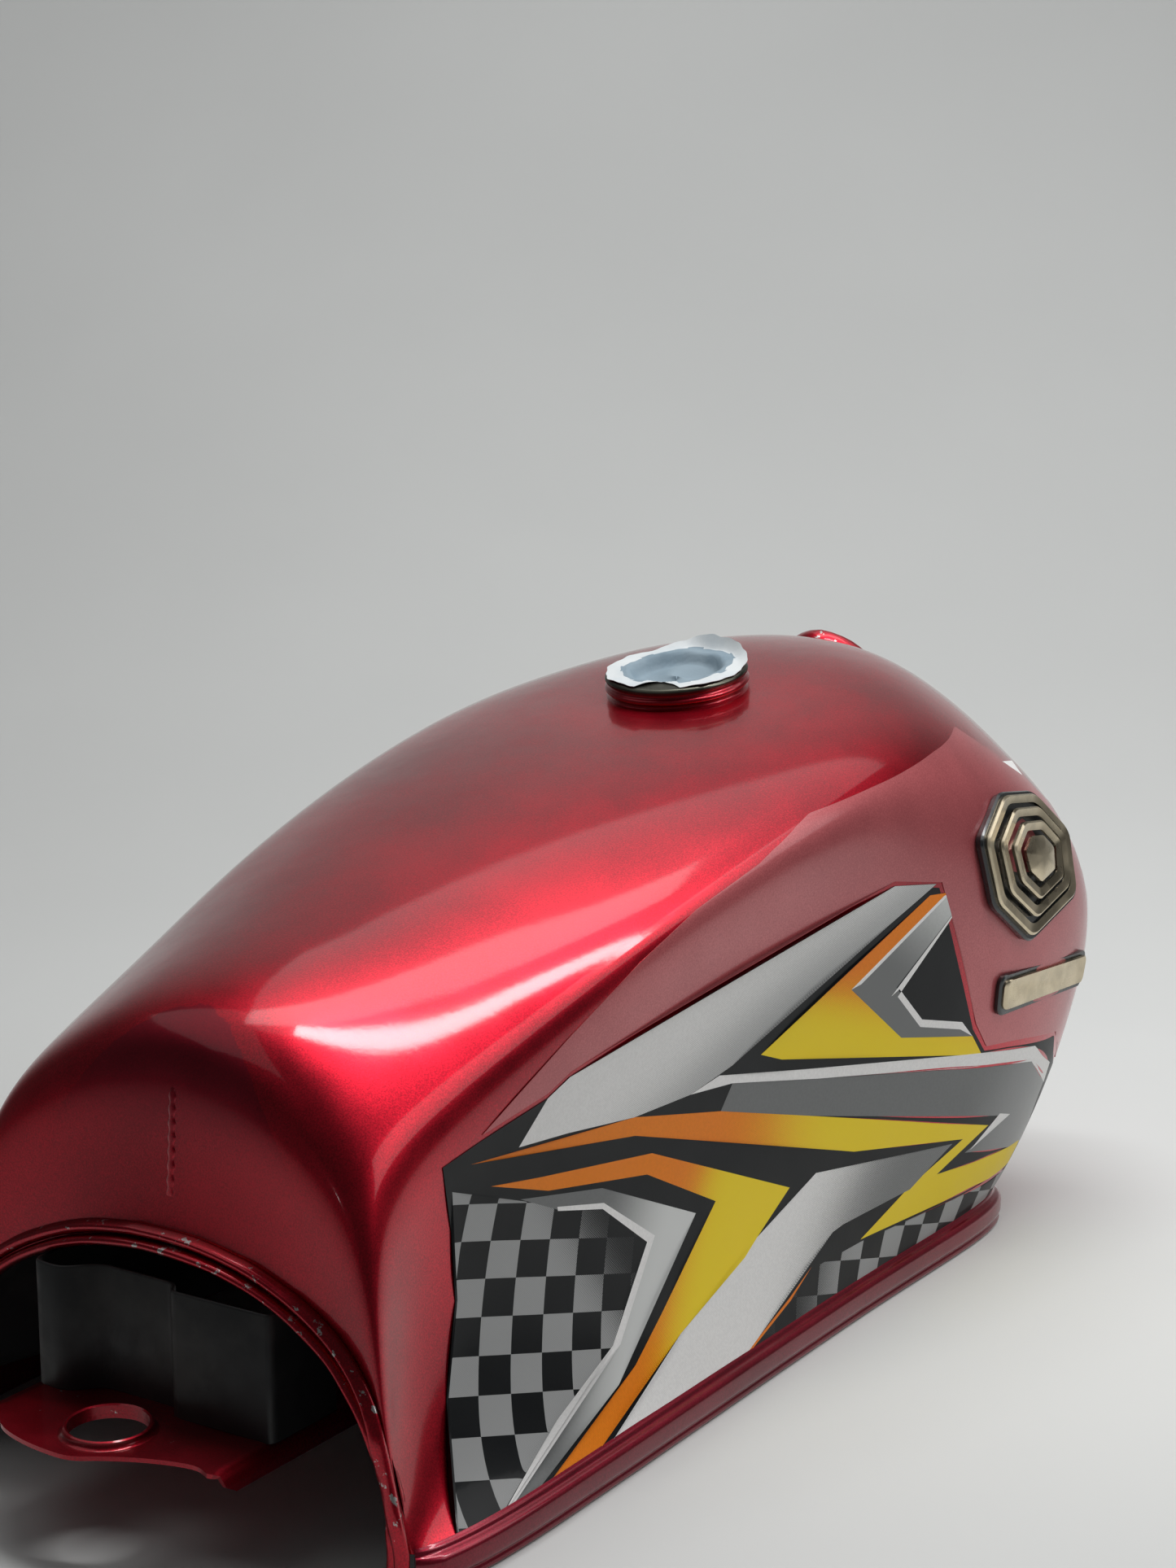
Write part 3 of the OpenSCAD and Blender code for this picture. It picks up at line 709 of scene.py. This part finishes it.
def contains(ring, x, y):
    inside = False
    j = len(ring) - 1
    for i in range(len(ring)):
        (xi, yi), (xj, yj) = ring[i], ring[j]
        if (yi > y) != (yj > y) and x < (xj - xi) * (y - yi) / (yj - yi) + xi:
            inside = not inside
        j = i
    return inside


def rear_plate():
    """The red plate: wavy rear edge, sides bent down, and a collared hole for the rubber bush."""
    hole_x, hole_y, hole_r = -252, 2, 14
    bend_r, drop = 3.0, 5.5
    flat_half = BRACKET_HALF - bend_r
    folded = flat_half + bend_r * math.pi / 2 + drop
    wave = [[-259, -48], [-257, -40], [-262, -23], [-268, -11], [-274, -2], [-275, 7],
            [-273, 22], [-269, 35], [-262, 44], [-258, 49]]
    rear = smooth_loop(wave, 5, closed=False)
    outline = [[-168, -folded], [-250, -folded], [-255, -folded + 3], [-257, -folded + 8], [-258.5, -50]]
    outline += rear.tolist()
    outline += [[-256, 52], [-254, folded - 4], [-250, folded], [-168, folded]]
    turn = np.linspace(0, 2 * math.pi, 48, endpoint=False)
    hole = np.stack([hole_x + hole_r * np.cos(turn), hole_y + hole_r * np.sin(turn)], axis=1)
    flat, faces = filled(outline, hole, 5)
    if np.cross(flat[faces[0][1]] - flat[faces[0][0]], flat[faces[0][2]] - flat[faces[0][0]]) < 0:
        faces = [tuple(reversed(f)) for f in faces]
    points, facing = [], []
    for x, s in flat:
        over = max(0, abs(s) - flat_half)
        angle = min(over / bend_r, math.pi / 2)
        rest = max(0, over - bend_r * math.pi / 2)
        sign = 1 if s > 0 else -1
        y = min(abs(s), flat_half) + bend_r * math.sin(angle)
        z = PLATE_Z + PLATE_T - bend_r * (1 - math.cos(angle)) - rest
        dent = 0.25 * math.sin(x * 0.13) * math.cos(s * 0.11) if over == 0 else 0
        points.append([x, sign * y, z + dent])
        facing.append([0, sign * math.sin(angle), math.cos(angle)])
    piece = solid_sheet("mount_plate", np.array(points) * MM, faces, np.array(facing), PLATE_T * MM,
                        [PLATE_PAINT])
    collar = [[hole_r, -1.6], [hole_r + 1.6, -1.6], [hole_r + 3.2, 0.1], [hole_r + 2.0, 0.6],
              [hole_r + 1.6, 1.6], [hole_r + 1.5, 2.7], [hole_r + 0.8, 3.1], [hole_r + 0.1, 2.7]]
    rings = []
    for a in np.linspace(0, 2 * math.pi, 64, endpoint=False):
        tall = 1 + 0.12 * math.cos(a - 0.6)
        rings.append([[hole_x + r * math.cos(a), hole_y + r * math.sin(a),
                       PLATE_Z + PLATE_T + h * (tall if h > 0 else 1)] for r, h in collar])
    ring = loft("bush_collar", np.array(rings) * MM, PLATE_PAINT, closed=True, crease=50)
    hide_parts("rear_mount_plate")


# ---------------------------------------------------------------- filler
def lathe(name, profile, material, steps=128, uneven=0.0, seed=0, crease=35):
    rings = []
    for a in np.linspace(0, 2 * math.pi, steps, endpoint=False):
        rings.append([at_neck(r, a, h) for r, h in profile])
    rings = np.array(rings)
    if uneven:
        flat = rings.reshape(-1, 3)
        flat += uneven * MM * waves(flat, 0.02, seed)[:, None] * NECK_AXIS
        rings = flat.reshape(rings.shape)
    return loft(name, rings, material, closed=True, crease=crease)


def filler():
    neck = smooth_loop([
        [27, -8], [29, -8], [29, -3], [33.4, -2.6], [32.6, 0.2], [31.0, 1.2], [29.2, 2.2], [29.0, 3.4],
        [30.2, 4.2], [30.8, 5.0], [30.6, 6.0], [29.6, 6.7], [29.2, 7.6], [29.3, 9], [27, 9],
    ], 3)
    piece = lathe("filler_neck_tube", neck, NECK_PAINT, uneven=0.12, seed=5, crease=50)
    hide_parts("filler_neck")
    rim = smooth_loop([
        [21, 7], [22.2, 7], [22.6, 8.9], [29.4, 8.3], [30.3, 8.9], [30.5, 9.8], [29.8, 10.7],
        [28.6, 11], [22.4, 11], [21.2, 10.6],
    ], 3)
    band = lathe("filler_rim_band", rim, STEEL_RIM_AND_PAINTED_REFLECTION, uneven=0.08, seed=9, crease=50)
    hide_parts("filler_rim")


def paper_seal():
    """A ring of paper on the rim, its centre sagging into the mouth, torn at the side and lifted in front."""
    turns, steps = 144, 26
    tear_at, tear_half = math.radians(-165), math.radians(19)
    flap_at, flap_half = math.radians(-14), math.radians(62)
    points, ids = [], {}
    for i in range(turns):
        a = 2 * math.pi * i / turns
        off = (a - flap_at + math.pi) % (2 * math.pi) - math.pi
        lift = max(0, 1 - (off / flap_half) ** 2)
        edge = 29.4 + 0.5 * math.sin(3 * a + 1) + 0.35 * math.sin(11 * a) + 0.25 * math.sin(23 * a + 2)
        edge += 5.0 * lift
        torn = (a - tear_at + math.pi) % (2 * math.pi) - math.pi
        if abs(torn) < tear_half:
            edge -= 8.5 * math.cos(torn / tear_half * math.pi / 2) ** 0.5
        for k in range(steps):
            r = edge * (k + 0.4) / (steps - 0.6)
            beyond = max(0, r - 26) / 8
            bowl = min(1, max(0, (20.7 - r) / 4))
            sag = -5.2 * (bowl * bowl * (3 - 2 * bowl)) - 0.9 * bowl * math.cos(a * 2 + r * 0.2)
            wave = 0.22 * math.sin(5 * a + r * 0.2) + 0.15 * math.sin(9 * a - r * 0.33)
            height = NECK_H + 0.75 + sag + wave * (1 - bowl) + lift * beyond ** 1.4 * 4.6
            ids[i, k] = len(points)
            points.append(at_neck(r - 3.4 * lift * beyond, a, height))
    faces, inks = [], []
    for i in range(turns):
        n = (i + 1) % turns
        a = 2 * math.pi * (i + 0.5) / turns
        for k in range(steps - 1):
            r = 29.4 * (k + 0.9) / (steps - 0.6)
            faces.append((ids[i, k], ids[i, k + 1], ids[n, k + 1], ids[n, k]))
            # Faces inside this radius take the darker blue-grey paper, painted shade of the sagging centre.
            inks.append(1 if r < 22.8 + 0.4 * math.sin(7 * a) else 0)
    centre = len(points)
    points.append(at_neck(0, 0, NECK_H + 0.75 - 5.6))
    for i in range(turns):
        faces.append((centre, ids[i, 0], ids[(i + 1) % turns, 0]))
        inks.append(1)
    points = np.array(points)
    used = sorted({k for f in faces for k in f})
    order = {k: i for i, k in enumerate(used)}
    faces = [tuple(order[k] for k in f) for f in faces]
    points = points[used]
    normal = np.zeros_like(points)
    for f, n in zip(faces, face_normals(points, faces)):
        for k in f:
            normal[k] += n
    piece = solid_sheet("paper_seal_sheet", points, faces, unit(normal), 0.18 * MM, [PAPER, SHADED_PAPER_CENTRE],
                        inks, body="seal")
    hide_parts("paper_seal")


# ---------------------------------------------------------------- side decals
# Corners on the tank's side as (x, z) in mm. A later shape is printed over an earlier one.
BAND = [(-166, 125), (-75, 118), (-23, 107), (159, 55), (121, 43), (200, 36), (198, 25), (64, 31),
        (97, 42), (139, 54), (61, 69), (-75, 111)]
PRINTS = [
    ("black_ground", [(-181, 128), (-160, 132), (-125, 138), (-113, 143), (84, 175), (113, 169), (139, 103),
                      (149, 91), (213, 82), (224, 66), (206, 36), (198, 22), (184, 14.4), (-213, 14.4),
                      (-192, 50), (-178, 80), (-177, 104)]),
    ("chequer", [(-176, 118), (-136, 103), (-98, 92), (-74, 72), (-104, 42), (-190, 14.4), (-212, 14.4),
                 (-191, 50), (-177, 80)]),
    ("chequer_front", [(-26, 14.4), (9, 23), (27, 30), (64, 30), (198, 24), (184, 14.4)]),
    ("silver_band", [(-140, 124), (-125, 138), (-113, 143), (84, 175), (111, 171), (85, 161), (-15, 123),
                     (-41, 118), (-75, 118), (-113, 122)]),
    ("amber_wing", [(107, 167), (130, 165), (59, 137), (91, 110), (139, 100), (147, 90), (16, 118),
                    (3, 123)]),
    ("spike", [(116, 165), (134, 165), (87, 132), (104, 114), (131, 106), (139, 100), (91, 110), (59, 137)]),
    ("spike_line", [(134, 165), (84, 129), (89, 131), (104, 115), (131, 108), (139, 100), (130, 105),
                    (103, 112), (88, 128)]),
    ("spike_edge", [(116, 165), (59, 137), (65, 138), (121, 166)]),
    ("grey_band", [(-15, 116), (38, 105), (191, 77), (213, 63), (206, 40), (204, 33), (142, 47), (178, 55),
                   (164, 58), (21, 94), (-23, 107)]),
    ("white_line", [(-41, 118), (-23, 121), (34, 110), (192, 83), (215, 69), (213, 60), (191, 76),
                    (38, 105), (-15, 116)]),
    ("white_tick", [(168, 58), (178, 55), (146, 47)]),
    ("amber_band", BAND),
    ("wedge", [(35, 67), (131, 54), (101, 42), (52, 41), (44, 40), (-26, 14.4), (-125, 14.4)]),
    ("amber_hook", [(-155, 114), (-129, 110), (-66, 102), (17, 66), (-17, 48), (-133, 14.4), (-164, 14.4),
                    (-96, 32), (-74, 44), (-31, 74), (-70, 95), (-125, 104)]),
    ("grey_hook", [(-140, 105), (-96, 97), (-44, 73), (-108, 29), (-171, 14.4), (-188, 14.4), (-104, 42),
                   (-74, 72), (-96, 90), (-121, 96)]),
    ("hook_line", [(-121, 97), (-96, 91.5), (-70, 72), (-101, 41), (-185, 14.4), (-189, 14.4), (-105, 42),
                   (-75, 71), (-97, 89.5), (-121, 95.5)]),
    ("white_corner", [(192, 207), (214, 203), (208, 190)]),
    ("amber_hair", [(-26, 14.4), (9, 23), (27, 31), (8, 24), (-29, 14.4)]),
]
# Outline of the clear film, which covers the side from the ridge to the prints
FILM_OUTLINE = [
    (-160, 134), (-113, 159), (-76, 177), (-42, 190), (-3, 200), (35, 212), (172, 224), (236, 181),
    (250, 140), (247, 108), (226, 68), (214, 84), (150, 93), (141, 105), (115, 171), (84, 177),
    (-113, 145), (-125, 140),
]


def chequer_ink(name, first, second, dots_from, dots_to):
    """Leaning chequers about 15 mm across in two inks, dissolving into the first along a halftone screen."""
    material = vinyl(name, first)
    tree = material.node_tree
    shader = tree.nodes["Principled BSDF"]
    where = axes(tree)
    x = maths(tree, "ADD", where[0], 0.172)
    z = maths(tree, "SUBTRACT", where[2], 0.099)
    column = maths(tree, "MULTIPLY_ADD", z, -0.417, x)
    row = maths(tree, "MULTIPLY_ADD", x, 0.267, z)
    along = maths(tree, "SINE", maths(tree, "MULTIPLY", column, math.pi / (16.7 * MM)))
    across = maths(tree, "SINE", maths(tree, "MULTIPLY", row, math.pi / (13.3 * MM)))
    square = maths(tree, "GREATER_THAN", maths(tree, "MULTIPLY", along, across), 0.0)
    fade = halftone(tree, between(tree, way(tree, dots_from, dots_to), 0.0, 1.0))
    ink = maths(tree, "MULTIPLY", square, fade)
    plain = shader.inputs["Base Color"].links[0].from_socket
    use(tree, shader, Base_Color=mix(tree, ink, plain, second))
    return material


INKS = {
    "black_ground": vinyl("ink_black", BLACK),
    "chequer": chequer_ink("ink_chequer", BLACK, MID_GREY, (-88, 84), (-128, 66)),
    "chequer_front": chequer_ink("ink_chequer_front", BLACK, MID_GREY, (10, 40), (60, 10)),
    "silver_band": vinyl("ink_silver", WHITE, MID_GREY, (-20, 166), (0, 112)),
    "amber_wing": vinyl("ink_amber_wing", ORANGE, YELLOW, (58, 150), (48, 118)),
    "spike": vinyl("ink_spike", SILVER, GREY, (128, 170), (100, 128), fine=True),
    "spike_line": vinyl("ink_white_line", WHITE),
    "spike_edge": vinyl("ink_white_edge", WHITE),
    "grey_band": vinyl("ink_grey_band", GREY, MID_GREY, (140, 80), (205, 40), fine=True),
    "white_line": vinyl("ink_white_stripe", WHITE),
    "white_tick": vinyl("ink_white_tick", WHITE),
    "amber_band": vinyl("ink_amber_band", ORANGE, YELLOW, (-30, 105), (60, 86)),
    "wedge": vinyl("ink_wedge", WHITE, GREY, (10, 62), (60, 10)),
    "amber_hook": vinyl("ink_amber_hook", ORANGE, YELLOW, (-52, 92), (-24, 70)),
    "grey_hook": vinyl("ink_grey_hook", GREY, SILVER, (-90, 100), (-60, 74), fine=True),
    "hook_line": vinyl("ink_hook_line", WHITE),
    "white_corner": vinyl("ink_white_corner", WHITE),
    "amber_hair": vinyl("ink_hair", ORANGE),
}


class Side:
    """The left flank, looked at from the side: gives the surface point and normal behind any (x, z)."""

    def __init__(self):
        us, vs = np.linspace(0, 1, 241), np.linspace(0.18, 1, 161)
        self.points = surface(CAGE, us, vs).reshape(-1, 3)
        self.normals = outward(CAGE, us, vs).reshape(-1, 3)
        self.faces = [t for a, b, c, d in grid_faces(len(us), len(vs)) for t in ((a, b, c), (a, c, d))]
        self.tree = BVHTree.FromPolygons([Vector(p) for p in self.points], self.faces)

    def find(self, x, z):
        ray = Vector((x * MM, 0.4, z * MM))
        hit, _, index, _ = self.tree.ray_cast(ray, Vector((0, -1, 0)))
        if hit is None:
            hit, _, index, _ = self.tree.find_nearest(Vector((x * MM, 0.11, z * MM)))
        corners = self.faces[index]
        gaps = [1 / (np.linalg.norm(self.points[k] - np.array(hit)) + 1e-7) for k in corners]
        normal = unit(sum(g * self.normals[k] for g, k in zip(gaps, corners)))
        return np.array(hit), normal


def printed_mesh(shapes, spacing):
    """Triangles over all the shapes, with the index of the topmost shape at each triangle."""
    points, edges = [], []
    for _, ring in shapes:
        first = len(points)
        points += [Vector(p) for p in ring]
        edges += [(first + i, first + (i + 1) % len(ring)) for i in range(len(ring))]
    every = np.concatenate([np.array(ring, float) for _, ring in shapes])
    low, high = every.min(0), every.max(0)
    for i, x in enumerate(np.arange(low[0], high[0], spacing)):
        for z in np.arange(low[1] + 0.5 * spacing * (i % 2), high[1], spacing):
            if any(contains(ring, x, z) for _, ring in shapes):
                points.append(Vector((x, z)))
    verts, _, faces = delaunay_2d_cdt(points, edges, [], 0, 1e-4)[:3]
    verts = np.array([tuple(v) for v in verts])
    keep, top = [], []
    for f in faces:
        x, z = verts[list(f)].mean(0)
        over = [k for k, (_, ring) in enumerate(shapes) if contains(ring, x, z)]
        if over:
            keep.append(tuple(f))
            top.append(over[-1])
    return verts, keep, top


def sticker(name, side_name, shapes, materials, side_view, lift, depth, spacing):
    """A sheet on the flank: its shapes are meshed flat, then laid on the shell."""
    side = SIDES[side_name]
    flat, faces, top = printed_mesh(shapes, spacing)
    found = [side_view.find(x, z) for x, z in flat]
    normal = np.array([n for _, n in found])
    points = np.array([p for p, _ in found]) + lift * normal
    a, b, c = (points[list(k)] for k in zip(*[f[:3] for f in faces]))
    facing = np.cross(b - a, c - a)
    faces = [f if facing[i][1] > 0 else tuple(reversed(f)) for i, f in enumerate(faces)]
    return solid_sheet(name, flip(points, side), turned(faces, side), flip(normal, side), depth,
                       materials, top)


def decals(side_view):
    materials = [INKS[name] for name, _ in PRINTS]
    for side_name in SIDES:
        prints = sticker(f"printed_decal_{side_name}", side_name, PRINTS, materials, side_view,
                         VINYL_T * MM, 0.24 * MM, 4.0)
        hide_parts(f"decal_{side_name}")
        film = sticker(f"film_{side_name}", side_name, [("film", FILM_OUTLINE)], [FILM_WITH_PAINTED_HAZE], side_view,
                       0.32 * MM, 0.26 * MM, 3.5)
        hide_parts(f"clear_film_{side_name}")


# ---------------------------------------------------------------- badges
BADGE_U, BADGE_V = (0.69, 0.8), (0.45, 0.7)
BAR_U, BAR_V = (0.705, 0.815), (0.735, 0.785)


def on_shell(s, t, lift, us, vs, side):
    """The point lift mm above the shell at fractions s and t of a patch of its grid."""
    u = np.array([us[0] + s * (us[1] - us[0])])
    v = np.array([vs[0] + t * (vs[1] - vs[0])])
    point = surface(CAGE, u, v)[0, 0] + lift * MM * outward(CAGE, u, v)[0, 0]
    return flip(point, side)


def shield_outline(scale, steps=8):
    """A six-sided shield in a unit square, its corners slightly rounded."""
    corners = [(0.0, 0.3), (0.3, 0.0), (0.72, 0.02), (1.0, 0.32), (0.86, 0.78), (0.34, 1.0), (0.05, 0.74)]
    line = rounded(corners + corners[:2], 0.06, steps)[1:-1]
    line = line[:len(line) - 1]
    return [((s - 0.5) * scale + 0.5, (t - 0.5) * scale + 0.5) for s, t in line]


def bar_outline(scale, long=1.0, tall=1.0, steps=5):
    """A bar in a unit square with rounded corners, made narrower by long and tall."""
    corners = [(0, 0), (1, 0), (1, 1), (0, 1)]
    rs, rt = 0.05, 0.25
    out = []
    for k, (cs, ct) in enumerate(corners):
        for a in np.linspace(math.pi + k * math.pi / 2, math.pi * 1.5 + k * math.pi / 2, steps):
            s = (cs + rs * (1 if cs == 0 else -1)) + rs * math.cos(a)
            t = (ct + rt * (1 if ct == 0 else -1)) + rt * math.sin(a)
            out.append(((s - 0.5) * scale * long + 0.5, (t - 0.5) * scale * tall + 0.5))
    return out


def bar_face_outline(scale):
    """The gold face stands inside the bar's black border."""
    return bar_outline(scale, 0.95, 0.74)


def raised_plate(name, outline, levels, us, vs, side, material):
    """A plate that follows the shell: levels are pairs of outline scale and height in mm."""
    rings = [[on_shell(s, t, height, us, vs, side) for s, t in outline(scale)] for scale, height in levels]
    return loft(name, rings, material, crease=28)


def raised_ring(name, outline, section, us, vs, side, material):
    """A closed rim that follows the shell: section holds scale and height round the rim's own outline."""
    loops = [[on_shell(s, t, height, us, vs, side) for s, t in outline(scale)] for scale, height in section]
    return loft(name, loops, material, closed=True, crease=28)


def badges():
    for side_name, side in SIDES.items():
        spot = (BADGE_U, BADGE_V, side)
        base = raised_plate(f"badge_base_plate_{side_name}", shield_outline,
                            [(0.97, 0.4), (1.0, 1.0), (1.0, 3.2), (0.975, 3.9)], *spot, PLASTIC)
        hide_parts(f"badge_base_{side_name}", f"badge_pad_{side_name}")
        rims = [(0.93, 0.80), (0.72, 0.59), (0.51, 0.38)]
        for k, (outer, inner) in enumerate(rims):
            rise = 5.0 + 0.3 * k
            section = [(outer, 3.7), (outer, rise - 0.5), (outer - 0.03, rise),
                       (inner + 0.05, rise - 0.7), (inner, rise - 1.1), (inner, 3.7)]
            rim = raised_ring(f"badge_rim_{k + 1}_{side_name}", shield_outline, section, *spot, GOLD)
            if k == 0:
                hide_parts(f"badge_face_{side_name}")
        boss = raised_plate(f"badge_boss_{side_name}", shield_outline,
                            [(0.30, 3.7), (0.30, 5.0), (0.22, 5.9), (0.06, 6.1)], *spot, GOLD)
        bar_spot = (BAR_U, BAR_V, side)
        bar = raised_plate(f"badge_bar_base_{side_name}", bar_outline,
                           [(0.97, 0.2), (1.0, 0.8), (1.0, 2.2), (0.97, 2.7)], *bar_spot, PLASTIC)
        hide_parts(f"badge_bar_{side_name}")
        plate = raised_plate(f"badge_bar_face_{side_name}", bar_face_outline,
                             [(1.0, 2.4), (1.0, 3.4), (0.96, 3.9)], *bar_spot, GOLD)


# ---------------------------------------------------------------- parts kept from the CAD model
def keep_parts():
    kept = {"front_channel_left": PRIMER, "front_channel_right": PRIMER, "filler_cam_ring": ZINC,
            "petcock_spigot": BRASS}
    for node, material in kept.items():
        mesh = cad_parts[node].data
        mesh.materials.clear()
        mesh.materials.append(material)


# ---------------------------------------------------------------- stage
def pale_surface(name, tone):
    """Matt pale grey with the faintest clouding."""
    material, tree, shader = start_material(name, Roughness=0.85, Specular_IOR_Level=0.2)
    soft = between(tree, noise(tree, 2.2, 3.0), 0.3, 0.7)
    use(tree, shader, Base_Color=mix(tree, soft, [c * 0.96 for c in tone], tone))
    use(tree, shader, Normal=bump(tree, noise(tree, 14, 4.0), 0.12, 0.004))
    return material


CAMERA_AT = np.array([-0.9309, -0.6517, 0.4558])
CAMERA_YAW = math.radians(33.90)
CAMERA_PITCH = math.radians(-11.81)
CAMERA_ROLL = math.radians(-0.22)


def camera():
    data = bpy.data.cameras.new("camera")
    data.lens = 67.08
    data.sensor_width = 36
    made = bpy.data.objects.new("camera", data)
    bpy.context.scene.collection.objects.link(made)
    ahead = Vector((math.cos(CAMERA_YAW) * math.cos(CAMERA_PITCH),
                    math.sin(CAMERA_YAW) * math.cos(CAMERA_PITCH), math.sin(CAMERA_PITCH)))
    turn = ahead.to_track_quat("-Z", "Y").to_matrix() @ Matrix.Rotation(CAMERA_ROLL, 3, "Z")
    made.matrix_world = Matrix.Translation(Vector(CAMERA_AT)) @ turn.to_4x4()
    bpy.context.scene.camera = made


def backdrop():
    """A pale floor that sweeps up far behind the tank, clear of a camera anywhere round it."""
    ahead = np.array([math.cos(CAMERA_YAW), math.sin(CAMERA_YAW), 0])
    right = np.array([math.sin(CAMERA_YAW), -math.cos(CAMERA_YAW), 0])
    start, sweep, near, half_width = 0.45, 1.6, -6.0, 7.0
    profile = [(near, 0.0), (start, 0.0)]
    profile += [(start + sweep * math.sin(a), sweep - sweep * math.cos(a))
                for a in np.linspace(0.04, math.pi / 2, 40)]
    profile += [(start + sweep, 3.2)]
    verts = []
    for far, high in profile:
        for side in (-half_width, half_width):
            verts.append(ahead * far + right * side + np.array([0, 0, high]))
    faces = [(2 * i, 2 * i + 1, 2 * i + 3, 2 * i + 2) for i in range(len(profile) - 1)]
    mesh = bpy.data.meshes.new("backdrop")
    mesh.from_pydata([tuple(v) for v in verts], [], faces)
    mesh.polygons.foreach_set("use_smooth", [True] * len(faces))
    mesh.materials.append(pale_surface("backdrop_paint", (0.70, 0.71, 0.70)))
    made = bpy.data.objects.new("backdrop", mesh)
    bpy.context.scene.collection.objects.link(made)


def area_light(name, at, aim, size, power):
    data = bpy.data.lights.new(name, "AREA")
    data.shape = "RECTANGLE"
    data.size, data.size_y = size
    data.energy = power
    made = bpy.data.objects.new(name, data)
    bpy.context.scene.collection.objects.link(made)
    made.location = at
    made.rotation_euler = (Vector(aim) - Vector(at)).to_track_quat("-Z", "Y").to_euler()
    return made


def lights():
    """A strip above the tank, a soft ceiling, panels behind, at the right and for the backdrop."""
    strip = area_light("strip", (0.20, -0.44, 0.98), (0.20, -0.44, 0.0), (1.2, 0.07), 6.5)
    strip.rotation_euler = (0, 0, math.radians(-67))
    ceiling = area_light("ceiling", (0.72, -0.06, 1.35), (0.62, -0.06, 0.0), (1.7, 1.1), 5)
    ceiling.rotation_euler = (0, 0, math.radians(-60))
    area_light("sweep_light", (0.5, 0.25, 1.9), (1.6, 1.07, 0.5), (1.4, 0.8), 12)
    area_light("rear_fill", (-0.45, 0.62, 1.15), (-0.2, 0, 0.15), (0.9, 0.7), 0.9)
    area_light("right_panel", (0.45, -1.05, 0.95), (0, -0.1, 0.12), (1.1, 0.6), 3.4)
    area_light("small_lamp", (-1.5, 0.42, 0.34), (0, 0, 0.15), (0.024, 0.016), 0.05)
    world = bpy.data.worlds.new("room")
    world.use_nodes = True
    room = world.node_tree.nodes["Background"].inputs
    room["Color"].default_value = (0.95, 0.98, 1.0, 1)
    room["Strength"].default_value = 0.05
    bpy.context.scene.world = world
    bpy.context.scene.view_settings.view_transform = "Standard"


# ---------------------------------------------------------------- build
camera()
backdrop()
lights()
for name in SIDES:
    skin(name)
    seam_roll(name)
tail_weld()
tunnel()
rear_arch()
front_arch()
rear_stay()
rear_plate()
filler()
paper_seal()
decals(Side())
badges()
keep_parts()
